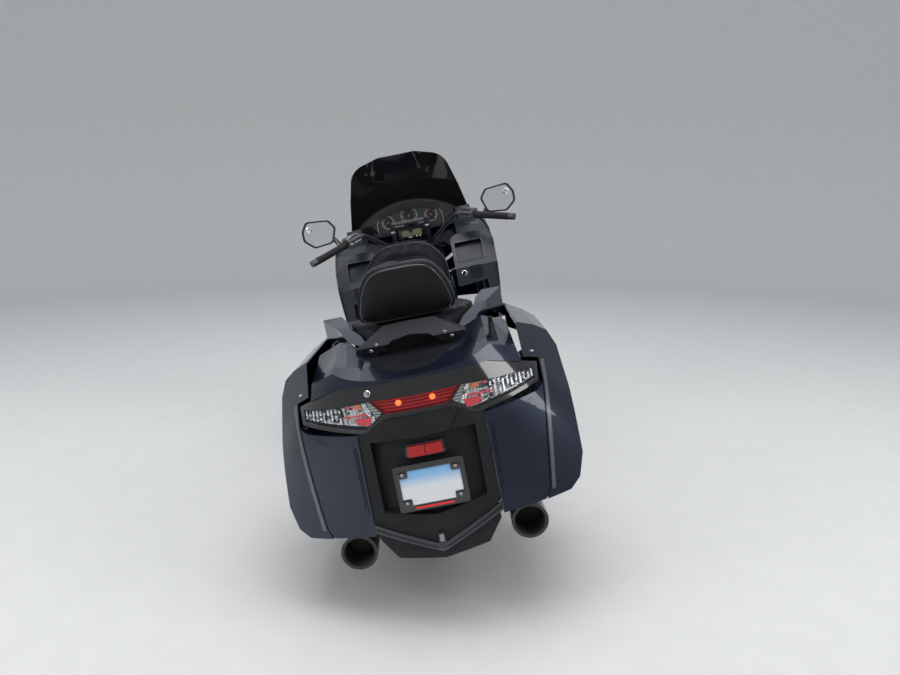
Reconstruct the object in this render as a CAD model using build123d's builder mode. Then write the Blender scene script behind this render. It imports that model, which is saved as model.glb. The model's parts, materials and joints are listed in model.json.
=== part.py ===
"""A touring motorcycle with saddlebags and a tall tinted screen, parked on its side stand.

Sizes are in millimetres. The machine is drawn upright in its own frame: X to the rider's right, Y forward,
Z up, with the rear axle over the origin. At the end each piece is steered if it turns with the bars, leaned
onto the side stand, and moved so that the origin lies on the floor under the middle of the whole machine.
"""

import os
from math import atan2, cos, degrees, radians, sin

from build123d import *

# Chassis
WHEELBASE = 1690.0
RAKE = 29.25
TRAIL = 109.0
LEAN = 11.1
PARKED_STEER = 4.0

# Clearances
SEAT_GAP = 0.3
PIN_GAP = 0.05

# Tyres, rims and brake discs
FRONT_TYRE_R = 320.0
FRONT_TYRE_HALF = 62.0
FRONT_CROWN_DROP = 50.0
FRONT_BEAD_R = 229.0
FRONT_BEAD_HALF = 46.0
REAR_TYRE_R = 311.0
REAR_TYRE_HALF = 89.0
REAR_CROWN_DROP = 51.0
REAR_BEAD_R = 203.0
REAR_BEAD_HALF = 68.0
FLANGE_H = 13.0
FLANGE_T = 7.0
RIM_T = 7.0
SPOKE_PAIRS = 5
FRONT_AXLE_R = 12.5
FRONT_HUB_R = 46.0
FRONT_HUB_HALF = 56.0
REAR_SPINDLE_R = 24.0
REAR_HUB_R = 62.0
REAR_HUB_HALF = 62.0
FRONT_DISC_R = 148.0
REAR_DISC_R = 158.0
DISC_T = 5.0

# Fork and steering
LEG_X = 118.0
LEG_R = 30.0
TUBE_R = 22.5
LEG_TOP = 330.0
LOW_YOKE = 545.0
TOP_YOKE = 752.0
YOKE_LOW_T = 36.0
YOKE_TOP_T = 24.0
STEM_R = 22.0
HEAD_R = 38.0

# Rear bodywork: the tail, lamps, bags and valance share one tapering round form
REAR_LOW = (200.0, 939.0, 318.0)
REAR_HIGH = (850.0, 316.0, -213.0)
REAR_TURN = 35.0
REAR_FLARE = 455.0
REAR_FRONT = 700.0
BAG_WALL = 4.0
BAG_IN = 190.0
MUFFLER_R = 54.0
MUFFLER_BORE_R = 47.0
MUFFLER_X = 262.0
MUFFLER_Z = 268.0
MUFFLER_BACK = -530.0
MUFFLER_FRONT = 130.0
TIP_R = 56.0
TIP_LENGTH = 40.0

REAR_AXLE_Z = REAR_TYRE_R
FRONT_AXLE_Z = FRONT_TYRE_R
RAKE_SIN = sin(radians(RAKE))
RAKE_COS = cos(radians(RAKE))
# The wheel's distance ahead of the steering axis, square to it
FORK_OFFSET = FRONT_TYRE_R * RAKE_SIN - TRAIL * RAKE_COS


def steer_plane(along):
    """Plane square to the steering axis, a distance along it above the axle's own plane."""
    foot_y = WHEELBASE - FORK_OFFSET * RAKE_COS
    foot_z = FRONT_AXLE_Z - FORK_OFFSET * RAKE_SIN
    return Plane(
        origin=(0, foot_y - along * RAKE_SIN, foot_z + along * RAKE_COS),
        x_dir=(1, 0, 0),
        z_dir=(0, -RAKE_SIN, RAKE_COS),
    )


def both_sides(part):
    """A right-hand piece and its mirror image, as one shape of two solids."""
    with BuildPart() as pair:
        add(part)
        mirror(about=Plane.YZ)
    return pair.part


def rear_form(inset):
    """The tail's form, drawn in by an inset: round behind, with sides that flare forward."""
    with BuildPart() as form:
        for height, radius, centre in (REAR_LOW, REAR_HIGH):
            arc_r = radius - inset
            end_x = arc_r * cos(radians(REAR_TURN))
            end_y = centre - arc_r * sin(radians(REAR_TURN))
            flare_x = end_x + REAR_FLARE * sin(radians(REAR_TURN))
            flare_y = end_y + REAR_FLARE * cos(radians(REAR_TURN))
            with BuildSketch(Plane.XY.offset(height)):
                with BuildLine():
                    ThreePointArc((-end_x, end_y), (0, centre - arc_r), (end_x, end_y))
                    Polyline(
                        (end_x, end_y), (flare_x, flare_y), (flare_x, REAR_FRONT), (-flare_x, REAR_FRONT),
                        (-flare_x, flare_y), (-end_x, end_y),
                    )
                make_face()
        loft()
    return form.part


def rear_skin(points, outer, inner, corner=0.0):
    """A piece of the tail's skin: an outline seen from behind, between two insets of the form."""
    with BuildPart() as skin:
        with BuildSketch(Plane.XZ.offset(120)) as face:
            with BuildLine():
                Polyline(*points, close=True)
            make_face()
            if corner:
                fillet(face.vertices(), corner)
        extrude(amount=600)
        add(rear_form(outer), mode=Mode.INTERSECT)
        add(rear_form(inner), mode=Mode.SUBTRACT)
    return skin.part


def tyre(radius, half, drop, bead_r, bead_half):
    """A tyre about the X axis, with a round crown."""
    with BuildPart() as made:
        with BuildSketch(Plane.XZ):
            with BuildLine():
                crown = ThreePointArc((-half, radius - drop), (0, radius), (half, radius - drop))
                foot_r = bead_r + FLANGE_H + 3
                mid_r = (radius - drop + foot_r) / 2
                right = ThreePointArc(crown @ 1, (half, mid_r), (bead_half, foot_r))
                left = ThreePointArc(crown @ 0, (-half, mid_r), (-bead_half, foot_r))
                seat_r = bead_r + SEAT_GAP
                Polyline(right @ 1, (bead_half, seat_r), (-bead_half, seat_r), left @ 1)
            make_face()
        revolve(axis=Axis.X)
    return made.part


def wheel(bead_r, bead_half, hub_r, hub_half, bore_r, spoke_half):
    """A cast wheel about the X axis: rim, hub and pairs of spokes."""
    flange_x = bead_half + SEAT_GAP + FLANGE_T
    with BuildPart() as made:
        with BuildSketch(Plane.XZ):
            with BuildLine():
                Polyline(
                    (-flange_x, bead_r - RIM_T),
                    (-flange_x, bead_r + FLANGE_H),
                    (-flange_x + FLANGE_T, bead_r + FLANGE_H),
                    (-flange_x + FLANGE_T, bead_r),
                    (flange_x - FLANGE_T, bead_r),
                    (flange_x - FLANGE_T, bead_r + FLANGE_H),
                    (flange_x, bead_r + FLANGE_H),
                    (flange_x, bead_r - RIM_T),
                    (spoke_half, bead_r - RIM_T - 8),
                    (-spoke_half, bead_r - RIM_T - 8),
                    close=True,
                )
            make_face()
        revolve(axis=Axis.X)
        with BuildSketch(Plane.YZ):
            Circle(hub_r)
            with PolarLocations(0, SPOKE_PAIRS):
                for side in (-1, 1):
                    with BuildLine():
                        Polyline(
                            (hub_r * 0.6, side * 2),
                            (bead_r - RIM_T - 6, side * 30),
                            (bead_r - RIM_T - 6, side * 56),
                            (hub_r * 0.75, side * 26),
                            close=True,
                        )
                    make_face()
        extrude(amount=spoke_half, both=True)
        with BuildSketch(Plane.YZ):
            Circle(hub_r * 0.8)
        extrude(amount=hub_half, both=True)
        with BuildSketch(Plane.YZ):
            Circle(bore_r)
        extrude(amount=hub_half + 1, both=True, mode=Mode.SUBTRACT)
    return made.part


def disc(outer_r, band, hub_r, bore_r, at_x, thickness):
    """A brake disc on a five-armed carrier, square to the X axis."""
    with BuildPart() as made:
        with BuildSketch(Plane.YZ.offset(at_x)):
            Circle(outer_r)
            Circle(outer_r - band, mode=Mode.SUBTRACT)
            with PolarLocations(0, 5):
                with Locations(((outer_r - band + bore_r) / 2 + 4, 0)):
                    Rectangle(outer_r - band - bore_r + 2, 26)
            Circle(hub_r)
            Circle(bore_r, mode=Mode.SUBTRACT)
            with PolarLocations(outer_r - band / 2, 15):
                Circle(5, mode=Mode.SUBTRACT)
        extrude(amount=thickness)
    return made.part


# Front wheel
front_axle_at = Location((0, WHEELBASE, FRONT_AXLE_Z))
front_tyre = front_axle_at * tyre(
    FRONT_TYRE_R, FRONT_TYRE_HALF, FRONT_CROWN_DROP, FRONT_BEAD_R, FRONT_BEAD_HALF
)
front_wheel = front_axle_at * wheel(
    FRONT_BEAD_R, FRONT_BEAD_HALF, FRONT_HUB_R, FRONT_HUB_HALF, FRONT_AXLE_R + PIN_GAP, 17
)
front_disc_right = disc(FRONT_DISC_R, 34, 52, FRONT_AXLE_R + 4, FRONT_HUB_HALF + SEAT_GAP, DISC_T)
front_discs = front_axle_at * both_sides(front_disc_right)

# Rear wheel
rear_axle_at = Location((0, 0, REAR_AXLE_Z))
rear_tyre = rear_axle_at * tyre(
    REAR_TYRE_R, REAR_TYRE_HALF, REAR_CROWN_DROP, REAR_BEAD_R, REAR_BEAD_HALF
)
rear_wheel = rear_axle_at * wheel(
    REAR_BEAD_R, REAR_BEAD_HALF, REAR_HUB_R, REAR_HUB_HALF, REAR_SPINDLE_R + PIN_GAP, 22
)
REAR_DISC_X = -REAR_HUB_HALF - SEAT_GAP - DISC_T
rear_disc = rear_axle_at * disc(REAR_DISC_R, 40, 60, REAR_SPINDLE_R + 4, REAR_DISC_X, DISC_T)


def plate_yz(points, near, far, corner=0.0):
    """A right-hand plate square to X: an outline seen from the side, and its distances from the middle."""
    with BuildPart() as made:
        with BuildSketch(Plane.YZ.offset(near)) as face:
            with BuildLine():
                Polyline(*points, close=True)
            make_face()
            if corner:
                fillet(face.vertices(), corner)
        extrude(amount=far - near)
    return made.part


def plate_xy(points, low, high, corner=0.0):
    """A level plate: an outline seen from above, between two heights."""
    with BuildPart() as made:
        with BuildSketch(Plane.XY.offset(low)) as face:
            with BuildLine():
                Polyline(*points, close=True)
            make_face()
            if corner:
                fillet(face.vertices(), corner)
        extrude(amount=high - low)
    return made.part


def plate_xz(points, back, front, corner=0.0):
    """A plate square to Y: an outline seen from behind, between two distances along the machine."""
    with BuildPart() as made:
        with BuildSketch(Plane.XZ.offset(-back)) as face:
            with BuildLine():
                Polyline(*points, close=True)
            make_face()
            if corner:
                fillet(face.vertices(), corner)
        extrude(amount=back - front)
    return made.part


def tube(path_points, radius, outer, bore=0.0):
    """A round tube along straight runs joined by tangent arcs."""
    with BuildPart() as made:
        with BuildLine() as route:
            if len(path_points) > 2:
                FilletPolyline(*path_points, radius=radius)
            else:
                Line(*path_points)
        with BuildSketch(Plane(origin=route.line @ 0, z_dir=route.line % 0)):
            Circle(outer)
            if bore:
                Circle(bore, mode=Mode.SUBTRACT)
        sweep(path=route.line)
    return made.part


def rod(start, end, radius):
    """A straight round bar between two points."""
    run = Vector(*end) - Vector(*start)
    with BuildPart() as made:
        with BuildSketch(Plane(origin=start, z_dir=run)):
            Circle(radius)
        extrude(amount=run.length)
    return made.part


# Main frame: head tube, two spars down to the swingarm pivot, and the rails that carry the tail
FAIRING_SPLIT = 702.0
SPAR_IN = 122.0
SPAR_OUT = 150.0
RAIL_IN = 105.0
RAIL_OUT = 130.0
HEAD_LOW = LOW_YOKE + YOKE_LOW_T + SEAT_GAP
HEAD_HIGH = TOP_YOKE - SEAT_GAP
SPAR_PLAN = [
    (0, 1330), (60, 1290), (SPAR_OUT, 1120), (SPAR_OUT, 520), (SPAR_IN, 520), (SPAR_IN, 1110),
    (30, 1250), (0, 1250),
]
SPAR_SIDE = [
    (1330, 930), (1150, 800), (640, 600), (520, 575), (520, 290), (650, 290), (720, 480), (1110, 660),
    (1340, 740),
]
RAIL_SIDE = [
    (560, 582), (300, 612), (-150, 655), (-430, 680), (-430, 705), (-150, 690), (300, 640), (560, 612),
]
STAY_RIGHT = [
    (SPAR_OUT - 6, 640), (SPAR_OUT - 6, 684), (177, 690), (330, FAIRING_SPLIT + 19.7),
    (362, FAIRING_SPLIT + 19.7), (362, FAIRING_SPLIT + 6), (196, 655),
]
with BuildPart() as spars:
    with BuildSketch(Plane.XY.offset(200)):
        with BuildLine():
            Polyline(*SPAR_PLAN, close=True)
        make_face()
        mirror(about=Plane.YZ)
    extrude(amount=800)
    with BuildSketch(Plane.YZ.offset(-200)):
        with BuildLine():
            Polyline(*SPAR_SIDE, close=True)
        make_face()
    extrude(amount=400, mode=Mode.INTERSECT)
with BuildPart() as main_frame:
    add(spars.part)
    with BuildSketch(steer_plane(HEAD_LOW)):
        Circle(HEAD_R)
    extrude(amount=HEAD_HIGH - HEAD_LOW)
    add(plate_yz(RAIL_SIDE, RAIL_IN, SPAR_OUT - 20))
    add(mirror(plate_yz(RAIL_SIDE, RAIL_IN, SPAR_OUT - 20), about=Plane.YZ))
    # Cross members between the rails, and the carriers that reach out to the bags
    with BuildSketch(Plane.XZ.offset(-540)):
        with Locations((0, 597)):
            Rectangle(2 * SPAR_OUT, 26)
    extrude(amount=24)
    for cross_y in (-330.0, -20.0):
        add(plate_xz(
            [(-RAIL_OUT, 660), (-RAIL_OUT, 672), (RAIL_OUT, 672), (RAIL_OUT, 660)], cross_y, cross_y + 20
        ))
        hanger = plate_xz(
            [(RAIL_OUT - 8, 642), (RAIL_OUT - 8, 670), (BAG_IN - SEAT_GAP, 622), (BAG_IN - SEAT_GAP, 560)],
            cross_y, cross_y + 20,
        )
        add(hanger)
        add(mirror(hanger, about=Plane.YZ))
    add(both_sides(plate_xz(STAY_RIGHT, 888, 872)))
    # The fork's stem turns in the head tube, clear of the spars
    with BuildSketch(steer_plane(LOW_YOKE - 120)):
        Circle(STEM_R + PIN_GAP)
    extrude(amount=500, mode=Mode.SUBTRACT)
    with BuildSketch(steer_plane(HEAD_HIGH)):
        Circle(LEG_X + LEG_R + 30)
    extrude(amount=200, mode=Mode.SUBTRACT)
    with BuildSketch(steer_plane(HEAD_LOW - 300)):
        Circle(LEG_X + LEG_R + 30)
    extrude(amount=300, mode=Mode.SUBTRACT)

# Engine: crankcase, gearbox between the pivot plates, and a bank of cylinders on each side
CASE_HALF = SPAR_IN - SEAT_GAP
HEAD_BACK = 846.0
HEAD_FRONT = 1176.0
HEAD_LOW_Z = 338.0
HEAD_HIGH_Z = 470.0
CYLINDER_X = 232.0
COVER_X = 318.0
CASE_SIDE = [
    (1215, 250), (1215, 400), (1160, 476), (840, 476), (780, 440), (606, 440), (594, 400), (594, 260),
    (640, 214), (1150, 214),
]
with BuildPart() as engine:
    with BuildSketch(Plane.YZ.offset(-CASE_HALF)) as case_face:
        with BuildLine():
            Polyline(*CASE_SIDE, close=True)
        make_face()
        fillet(case_face.vertices(), 18)
    extrude(amount=2 * CASE_HALF)
    with BuildSketch(Plane.YZ.offset(-CYLINDER_X)):
        with Locations(((HEAD_BACK + HEAD_FRONT) / 2, (HEAD_LOW_Z + HEAD_HIGH_Z) / 2)):
            RectangleRounded(HEAD_FRONT - HEAD_BACK, HEAD_HIGH_Z - HEAD_LOW_Z, 16)
    extrude(amount=2 * CYLINDER_X)
    with BuildSketch(Plane.YZ.offset(-CASE_HALF - 14)):
        with Locations((762, 330)):
            Circle(58)
    extrude(amount=2 * CASE_HALF + 28)
with BuildPart() as cover_right:
    with BuildSketch(Plane.YZ.offset(CYLINDER_X + SEAT_GAP)):
        with Locations(((HEAD_BACK + HEAD_FRONT) / 2, (HEAD_LOW_Z + HEAD_HIGH_Z) / 2)):
            RectangleRounded(HEAD_FRONT - HEAD_BACK + 8, HEAD_HIGH_Z - HEAD_LOW_Z + 8, 20)
    extrude(amount=COVER_X - CYLINDER_X - 10, taper=9)
    with BuildSketch(Plane.YZ.offset(COVER_X - 30)):
        for rib in (-1, 0, 1):
            with Locations(((HEAD_BACK + HEAD_FRONT) / 2, (HEAD_LOW_Z + HEAD_HIGH_Z) / 2 + rib * 26)):
                SlotOverall(HEAD_FRONT - HEAD_BACK - 50, 12)
    extrude(amount=30)
head_covers = both_sides(cover_right.part)

# Exhaust: three headers a side into a collector, back to a muffler under each bag
COLLECTOR_X = 150.0
COLLECTOR_Z = 188.0
COLLECTOR_R = 20.0
HEADER_R = 17.0
HEADER_X = 190.0
HEADER_YS = (900.0, 1010.0, 1120.0)
collector = tube(
    [(HEADER_X, 1140, COLLECTOR_Z), (HEADER_X, 830, COLLECTOR_Z), (COLLECTOR_X, 700, COLLECTOR_Z),
     (COLLECTOR_X, 330, COLLECTOR_Z), (MUFFLER_X, 190, MUFFLER_Z), (MUFFLER_X, MUFFLER_FRONT, MUFFLER_Z)],
    40, COLLECTOR_R,
)
with BuildPart() as pipes_right:
    add(collector)
    for header_y in HEADER_YS:
        with BuildSketch(Plane.XY.offset(COLLECTOR_Z)):
            with Locations((HEADER_X, header_y)):
                Circle(HEADER_R)
        extrude(amount=HEAD_LOW_Z - COLLECTOR_Z)
exhaust_pipes = both_sides(pipes_right.part)
with BuildPart() as muffler_right:
    with BuildSketch(Plane.XZ.offset(-MUFFLER_FRONT)):
        with Locations((MUFFLER_X, MUFFLER_Z)):
            Circle(MUFFLER_R - 14)
    with BuildSketch(Plane.XZ.offset(-MUFFLER_FRONT + 60)):
        with Locations((MUFFLER_X, MUFFLER_Z)):
            Circle(MUFFLER_R)
    loft()
    with BuildSketch(Plane.XZ.offset(-MUFFLER_FRONT + 60)):
        with Locations((MUFFLER_X, MUFFLER_Z)):
            Circle(MUFFLER_R)
    extrude(amount=MUFFLER_FRONT - 60 - MUFFLER_BACK)
    with BuildSketch(Plane.XZ.offset(-MUFFLER_BACK)):
        with Locations((MUFFLER_X, MUFFLER_Z)):
            Circle(TIP_R)
    extrude(amount=-TIP_LENGTH)
    with BuildSketch(Plane.XZ.offset(-MUFFLER_BACK)):
        with Locations((MUFFLER_X, MUFFLER_Z)):
            Circle(MUFFLER_BORE_R)
    extrude(amount=-90, mode=Mode.SUBTRACT)
mufflers = both_sides(muffler_right.part)
PAN_TOP = 214.0 - SEAT_GAP
with BuildPart() as belly_pan:
    with BuildSketch(Plane.YZ.offset(-112)):
        with BuildLine():
            Polyline((1150, PAN_TOP), (1110, 160), (700, 160), (650, PAN_TOP), close=True)
        make_face()
    extrude(amount=224)

# Swingarm on the left, with the final drive, the spindle and the rear caliper
ARM_PLAN = [
    (-SPAR_IN + SEAT_GAP, 590), (SPAR_IN - SEAT_GAP, 590), (SPAR_IN - SEAT_GAP, 500), (-70, 352),
    (-103, 320), (-103, -40), (-150, -40), (-150, 440), (-SPAR_IN + SEAT_GAP, 516),
]
with BuildPart() as arm_plan:
    with BuildSketch(Plane.XY.offset(200)):
        with BuildLine():
            Polyline(*ARM_PLAN, close=True)
        make_face()
    extrude(amount=300)
    with BuildSketch(Plane.YZ.offset(-200)):
        with BuildLine():
            Polyline(
                (588, 300), (588, 372), (480, 385), (200, 365), (0, 345), (-40, 330), (-40, 292), (0, 277),
                (480, 285), close=True,
            )
        make_face()
    extrude(amount=400, mode=Mode.INTERSECT)
with BuildPart() as swingarm:
    add(arm_plan.part)
    with BuildSketch(Plane.YZ.offset(-166)):
        with Locations((0, REAR_AXLE_Z)):
            Circle(84)
    extrude(amount=166 - 78, taper=0)
    with BuildSketch(Plane.YZ.offset(-100)):
        with Locations((0, REAR_AXLE_Z)):
            Circle(REAR_SPINDLE_R)
    extrude(amount=100 + REAR_HUB_HALF + 16)
    with BuildSketch(Plane.YZ.offset(REAR_HUB_HALF + SEAT_GAP)):
        with Locations((0, REAR_AXLE_Z)):
            RegularPolygon(34, 6)
    extrude(amount=18)
    with BuildSketch(Plane.YZ.offset(-103)):
        with BuildLine():
            Polyline((140, 330), (140, 410), (70, 462), (40, 425), (90, 330), close=True)
        make_face()
    extrude(amount=60)
    with BuildSketch(Plane.YZ.offset(REAR_DISC_X - 1.5)):
        with Locations((0, REAR_AXLE_Z)):
            Circle(REAR_DISC_R + 3)
    extrude(amount=DISC_T + 3, mode=Mode.SUBTRACT)
    with BuildSketch(Plane.YZ.offset(REAR_DISC_X - 1.5)):
        with Locations((0, REAR_AXLE_Z)):
            Circle(REAR_SPINDLE_R)
    extrude(amount=DISC_T + 3)

# Rear fender: an arch over the tyre, between the rails
FENDER_R = REAR_TYRE_R + 20.0
FENDER_HALF = RAIL_IN - SEAT_GAP
with BuildPart() as rear_fender:
    with BuildSketch(Plane.YZ.offset(-FENDER_HALF)):
        with BuildLine():
            arch = CenterArc((0, REAR_AXLE_Z), FENDER_R + 4, 40, 122)
            arch_in = CenterArc((0, REAR_AXLE_Z), FENDER_R, 40, 122)
            Line(arch @ 0, arch_in @ 0)
            Line(arch @ 1, arch_in @ 1)
        make_face()
    extrude(amount=2 * FENDER_HALF)
    with BuildSketch(Plane.YZ.offset(FENDER_HALF - 4)):
        with BuildLine():
            lip = CenterArc((0, REAR_AXLE_Z), FENDER_R + 1, 40, 122)
            lip_in = CenterArc((0, REAR_AXLE_Z), FENDER_R - 40, 44, 114)
            Line(lip @ 0, lip_in @ 0)
            Line(lip @ 1, lip_in @ 1)
        make_face()
    extrude(amount=4)
    mirror(about=Plane.YZ)

# Fork: yokes, stem, legs and front axle
with BuildPart() as fork:
    with BuildSketch(steer_plane(LOW_YOKE)):
        with Locations((0, FORK_OFFSET / 2)):
            RectangleRounded(2 * (LEG_X + LEG_R + 6), FORK_OFFSET + 70, 30)
    extrude(amount=YOKE_LOW_T)
    with BuildSketch(steer_plane(TOP_YOKE)):
        with Locations((0, FORK_OFFSET / 2)):
            RectangleRounded(2 * (LEG_X + LEG_R + 2), FORK_OFFSET + 64, 30)
    extrude(amount=YOKE_TOP_T)
    with BuildSketch(steer_plane(LOW_YOKE)):
        Circle(STEM_R)
    extrude(amount=TOP_YOKE - LOW_YOKE + YOKE_TOP_T)
    for side in (-1, 1):
        with BuildSketch(steer_plane(-30)):
            with Locations((side * LEG_X, FORK_OFFSET)):
                Circle(LEG_R)
        extrude(amount=LEG_TOP + 30)
        with BuildSketch(steer_plane(LEG_TOP)):
            with Locations((side * LEG_X, FORK_OFFSET)):
                Circle(TUBE_R)
        extrude(amount=TOP_YOKE + YOKE_TOP_T + 6 - LEG_TOP)
    with BuildSketch(Plane.YZ.offset(-LEG_X - 24)):
        with Locations((WHEELBASE, FRONT_AXLE_Z)):
            Circle(FRONT_AXLE_R)
    extrude(amount=2 * LEG_X + 48)
    for side in (-1, 1):
        with BuildSketch(Plane.YZ.offset(side * (FRONT_HUB_HALF + SEAT_GAP))):
            with Locations((WHEELBASE, FRONT_AXLE_Z)):
                Circle(FRONT_AXLE_R + 3)
        extrude(amount=side * (LEG_X - FRONT_HUB_HALF - 10))

# Front calipers, behind the legs
with BuildPart() as caliper_right:
    with BuildSketch(Plane.YZ.offset(FRONT_HUB_HALF - 14)):
        with BuildLine():
            Polyline(
                (WHEELBASE - 30, FRONT_AXLE_Z + 80), (WHEELBASE - 30, FRONT_AXLE_Z + 150),
                (WHEELBASE - 110, FRONT_AXLE_Z + 120), (WHEELBASE - 140, FRONT_AXLE_Z + 30),
                (WHEELBASE - 95, FRONT_AXLE_Z + 20), close=True,
            )
        make_face()
    extrude(amount=LEG_X - LEG_R - SEAT_GAP - FRONT_HUB_HALF + 14)
    with BuildSketch(Plane.YZ.offset(FRONT_HUB_HALF + SEAT_GAP - 1.5)):
        with Locations((WHEELBASE, FRONT_AXLE_Z)):
            Circle(FRONT_DISC_R + 3)
    extrude(amount=DISC_T + 3, mode=Mode.SUBTRACT)
front_calipers = both_sides(caliper_right.part)

# Front fender: an arch with side skirts, held by a boss on each leg
FRONT_FENDER_R = FRONT_TYRE_R + 22.0
FRONT_FENDER_HALF = 79.0
FENDER_START = 22.0
FENDER_ARC = 150.0
FENDER_BOSS = 270.0
with BuildPart() as arch_part:
    with BuildSketch(Plane.XY.offset(FRONT_AXLE_Z)):
        with BuildLine():
            crown_out = ThreePointArc(
                (-FRONT_FENDER_HALF, WHEELBASE + FRONT_FENDER_R - 22), (0, WHEELBASE + FRONT_FENDER_R + 4),
                (FRONT_FENDER_HALF, WHEELBASE + FRONT_FENDER_R - 22),
            )
            crown_in = ThreePointArc(
                (-FRONT_FENDER_HALF + 4, WHEELBASE + FRONT_FENDER_R - 25), (0, WHEELBASE + FRONT_FENDER_R),
                (FRONT_FENDER_HALF - 4, WHEELBASE + FRONT_FENDER_R - 25),
            )
            skirt_y = WHEELBASE + 262
            Polyline(
                crown_out @ 0, (-FRONT_FENDER_HALF, skirt_y), (-FRONT_FENDER_HALF + 4, skirt_y), crown_in @ 0
            )
            Polyline(
                crown_out @ 1, (FRONT_FENDER_HALF, skirt_y), (FRONT_FENDER_HALF - 4, skirt_y), crown_in @ 1
            )
        make_face()
    revolve(axis=Axis((0, WHEELBASE, FRONT_AXLE_Z), (1, 0, 0)), revolution_arc=FENDER_ARC)
with BuildPart() as boss_right:
    with BuildSketch(Plane.YZ.offset(FRONT_FENDER_HALF - 2)):
        with Locations((WHEELBASE - FENDER_BOSS * RAKE_SIN, FRONT_AXLE_Z + FENDER_BOSS * RAKE_COS)):
            Circle(14)
    extrude(amount=LEG_X - LEG_R - SEAT_GAP - FRONT_FENDER_HALF + 2)
axle_turn = front_axle_at * Rotation(FENDER_START, 0, 0) * front_axle_at.inverse()
with BuildPart() as front_fender:
    add(axle_turn * arch_part.part)
    add(boss_right.part)
    add(mirror(boss_right.part, about=Plane.YZ))


# Fairing: plan sections, each a height, a half width, where its side meets its nose, and its nose
FAIRING_WALL = 5.0
FAIRING_BACK = 760.0
SCREEN_FOOT = 1172.0
FAIRING_TABLE = [
    (300.0, 288.0, 1230.0, 1330.0),
    (520.0, 352.0, 1290.0, 1460.0),
    (705.0, 390.0, 1350.0, 1585.0),
    (900.0, 408.0, 1420.0, 1660.0),
    (1060.0, 402.0, 1420.0, 1610.0),
    (SCREEN_FOOT, 358.0, 1375.0, 1490.0),
]


def fairing_form(inset):
    """The fairing's outer form, drawn in by an inset."""
    with BuildPart() as form:
        for height, half, corner_y, nose_y in FAIRING_TABLE:
            with BuildSketch(Plane.XY.offset(height)):
                with BuildLine():
                    right = ThreePointArc(
                        (0.93 * half - inset, FAIRING_BACK), (half - inset, 1080),
                        (0.93 * half - inset, corner_y - inset),
                    )
                    nose = ThreePointArc(
                        right @ 1, (0, nose_y - inset), (-0.93 * half + inset, corner_y - inset)
                    )
                    left = ThreePointArc(
                        nose @ 1, (-half + inset, 1080), (-0.93 * half + inset, FAIRING_BACK),
                    )
                    Line(left @ 1, right @ 0)
                make_face()
        loft()
    return form.part


FAIRING_EDGE = [
    (868, FAIRING_SPLIT), (905, 760), (948, 915), (1046, 1086), (1110, 1120), (1240, SCREEN_FOOT - 20),
    (1376, SCREEN_FOOT),
]
UPPER_SIDE = FAIRING_EDGE + [(1720, SCREEN_FOOT), (1720, FAIRING_SPLIT)]
LOWER_SIDE = [
    (868, FAIRING_SPLIT - SEAT_GAP), (846, 640), (838, 560), (862, 490), (1184, 490), (1192, 340),
    (1232, 318), (1262, 400), (1262, FAIRING_SPLIT - SEAT_GAP),
]
# Headlamp window on the right, seen from ahead: distance out, height
LAMP_WINDOW = [(74, 812), (330, 906), (352, 968), (190, 952), (88, 886)]
VENT_SLOTS = [(1040.0, 640.0), (1075.0, 600.0), (1110.0, 560.0)]
fairing_outer = fairing_form(0)
fairing_inner = fairing_form(FAIRING_WALL)
with BuildPart() as fairing_shell:
    add(fairing_outer)
    add(fairing_inner, mode=Mode.SUBTRACT)
upper_side = plate_yz(UPPER_SIDE, -500, 500)
lower_side = plate_yz(LOWER_SIDE, -500, 500)
lamp_windows = both_sides(plate_xz(LAMP_WINDOW, 1250, 1750, 12))
with BuildPart() as upper_fairing:
    add(fairing_shell.part)
    add(upper_side, mode=Mode.INTERSECT)
    add(lamp_windows, mode=Mode.SUBTRACT)
with BuildPart() as headlamps:
    add(fairing_shell.part)
    add(lamp_windows, mode=Mode.INTERSECT)
with BuildPart() as side_fairings:
    add(fairing_shell.part)
    add(lower_side, mode=Mode.INTERSECT)
    for slot_y, slot_z in VENT_SLOTS:
        with BuildSketch(Plane.YZ.offset(-500)):
            with Locations(Location((slot_y, slot_z), 62)):
                SlotOverall(110, 16)
        extrude(amount=1000, mode=Mode.SUBTRACT)

# Screen: a curved sheet on the fairing's top edge, with round top corners
SCREEN_T = 4.5
SCREEN_TABLE = [
    (333.0, 1374.5, 1489.5),
    (292.0, 1272.0, 1385.0),
    (240.0, 1120.0, 1225.0),
]
SCREEN_MIDDLE = SCREEN_FOOT + 158.0
SCREEN_HEAD = SCREEN_FOOT + 373.0
SCREEN_RIGHT = [(345, -12), (334, 28), (240, 318), (96, 361)]
SCREEN_OUTLINE = [(x, SCREEN_FOOT + rise) for x, rise in SCREEN_RIGHT]
SCREEN_OUTLINE += [(-x, z) for x, z in reversed(SCREEN_OUTLINE)]


def screen_form(inset, foot):
    """The space behind the screen's outer face, drawn in by an inset, from a foot height up."""
    with BuildPart() as form:
        for height, row in zip((foot, SCREEN_MIDDLE, SCREEN_HEAD), SCREEN_TABLE):
            half, edge_y, middle_y = row
            with BuildSketch(Plane.XY.offset(height)):
                with BuildLine():
                    bow = ThreePointArc(
                        (half, edge_y - inset), (0, middle_y - inset), (-half, edge_y - inset),
                    )
                    Polyline(bow @ 1, (-half, edge_y - 140), (half, edge_y - 140), bow @ 0)
                make_face()
        loft()
    return form.part


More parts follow.
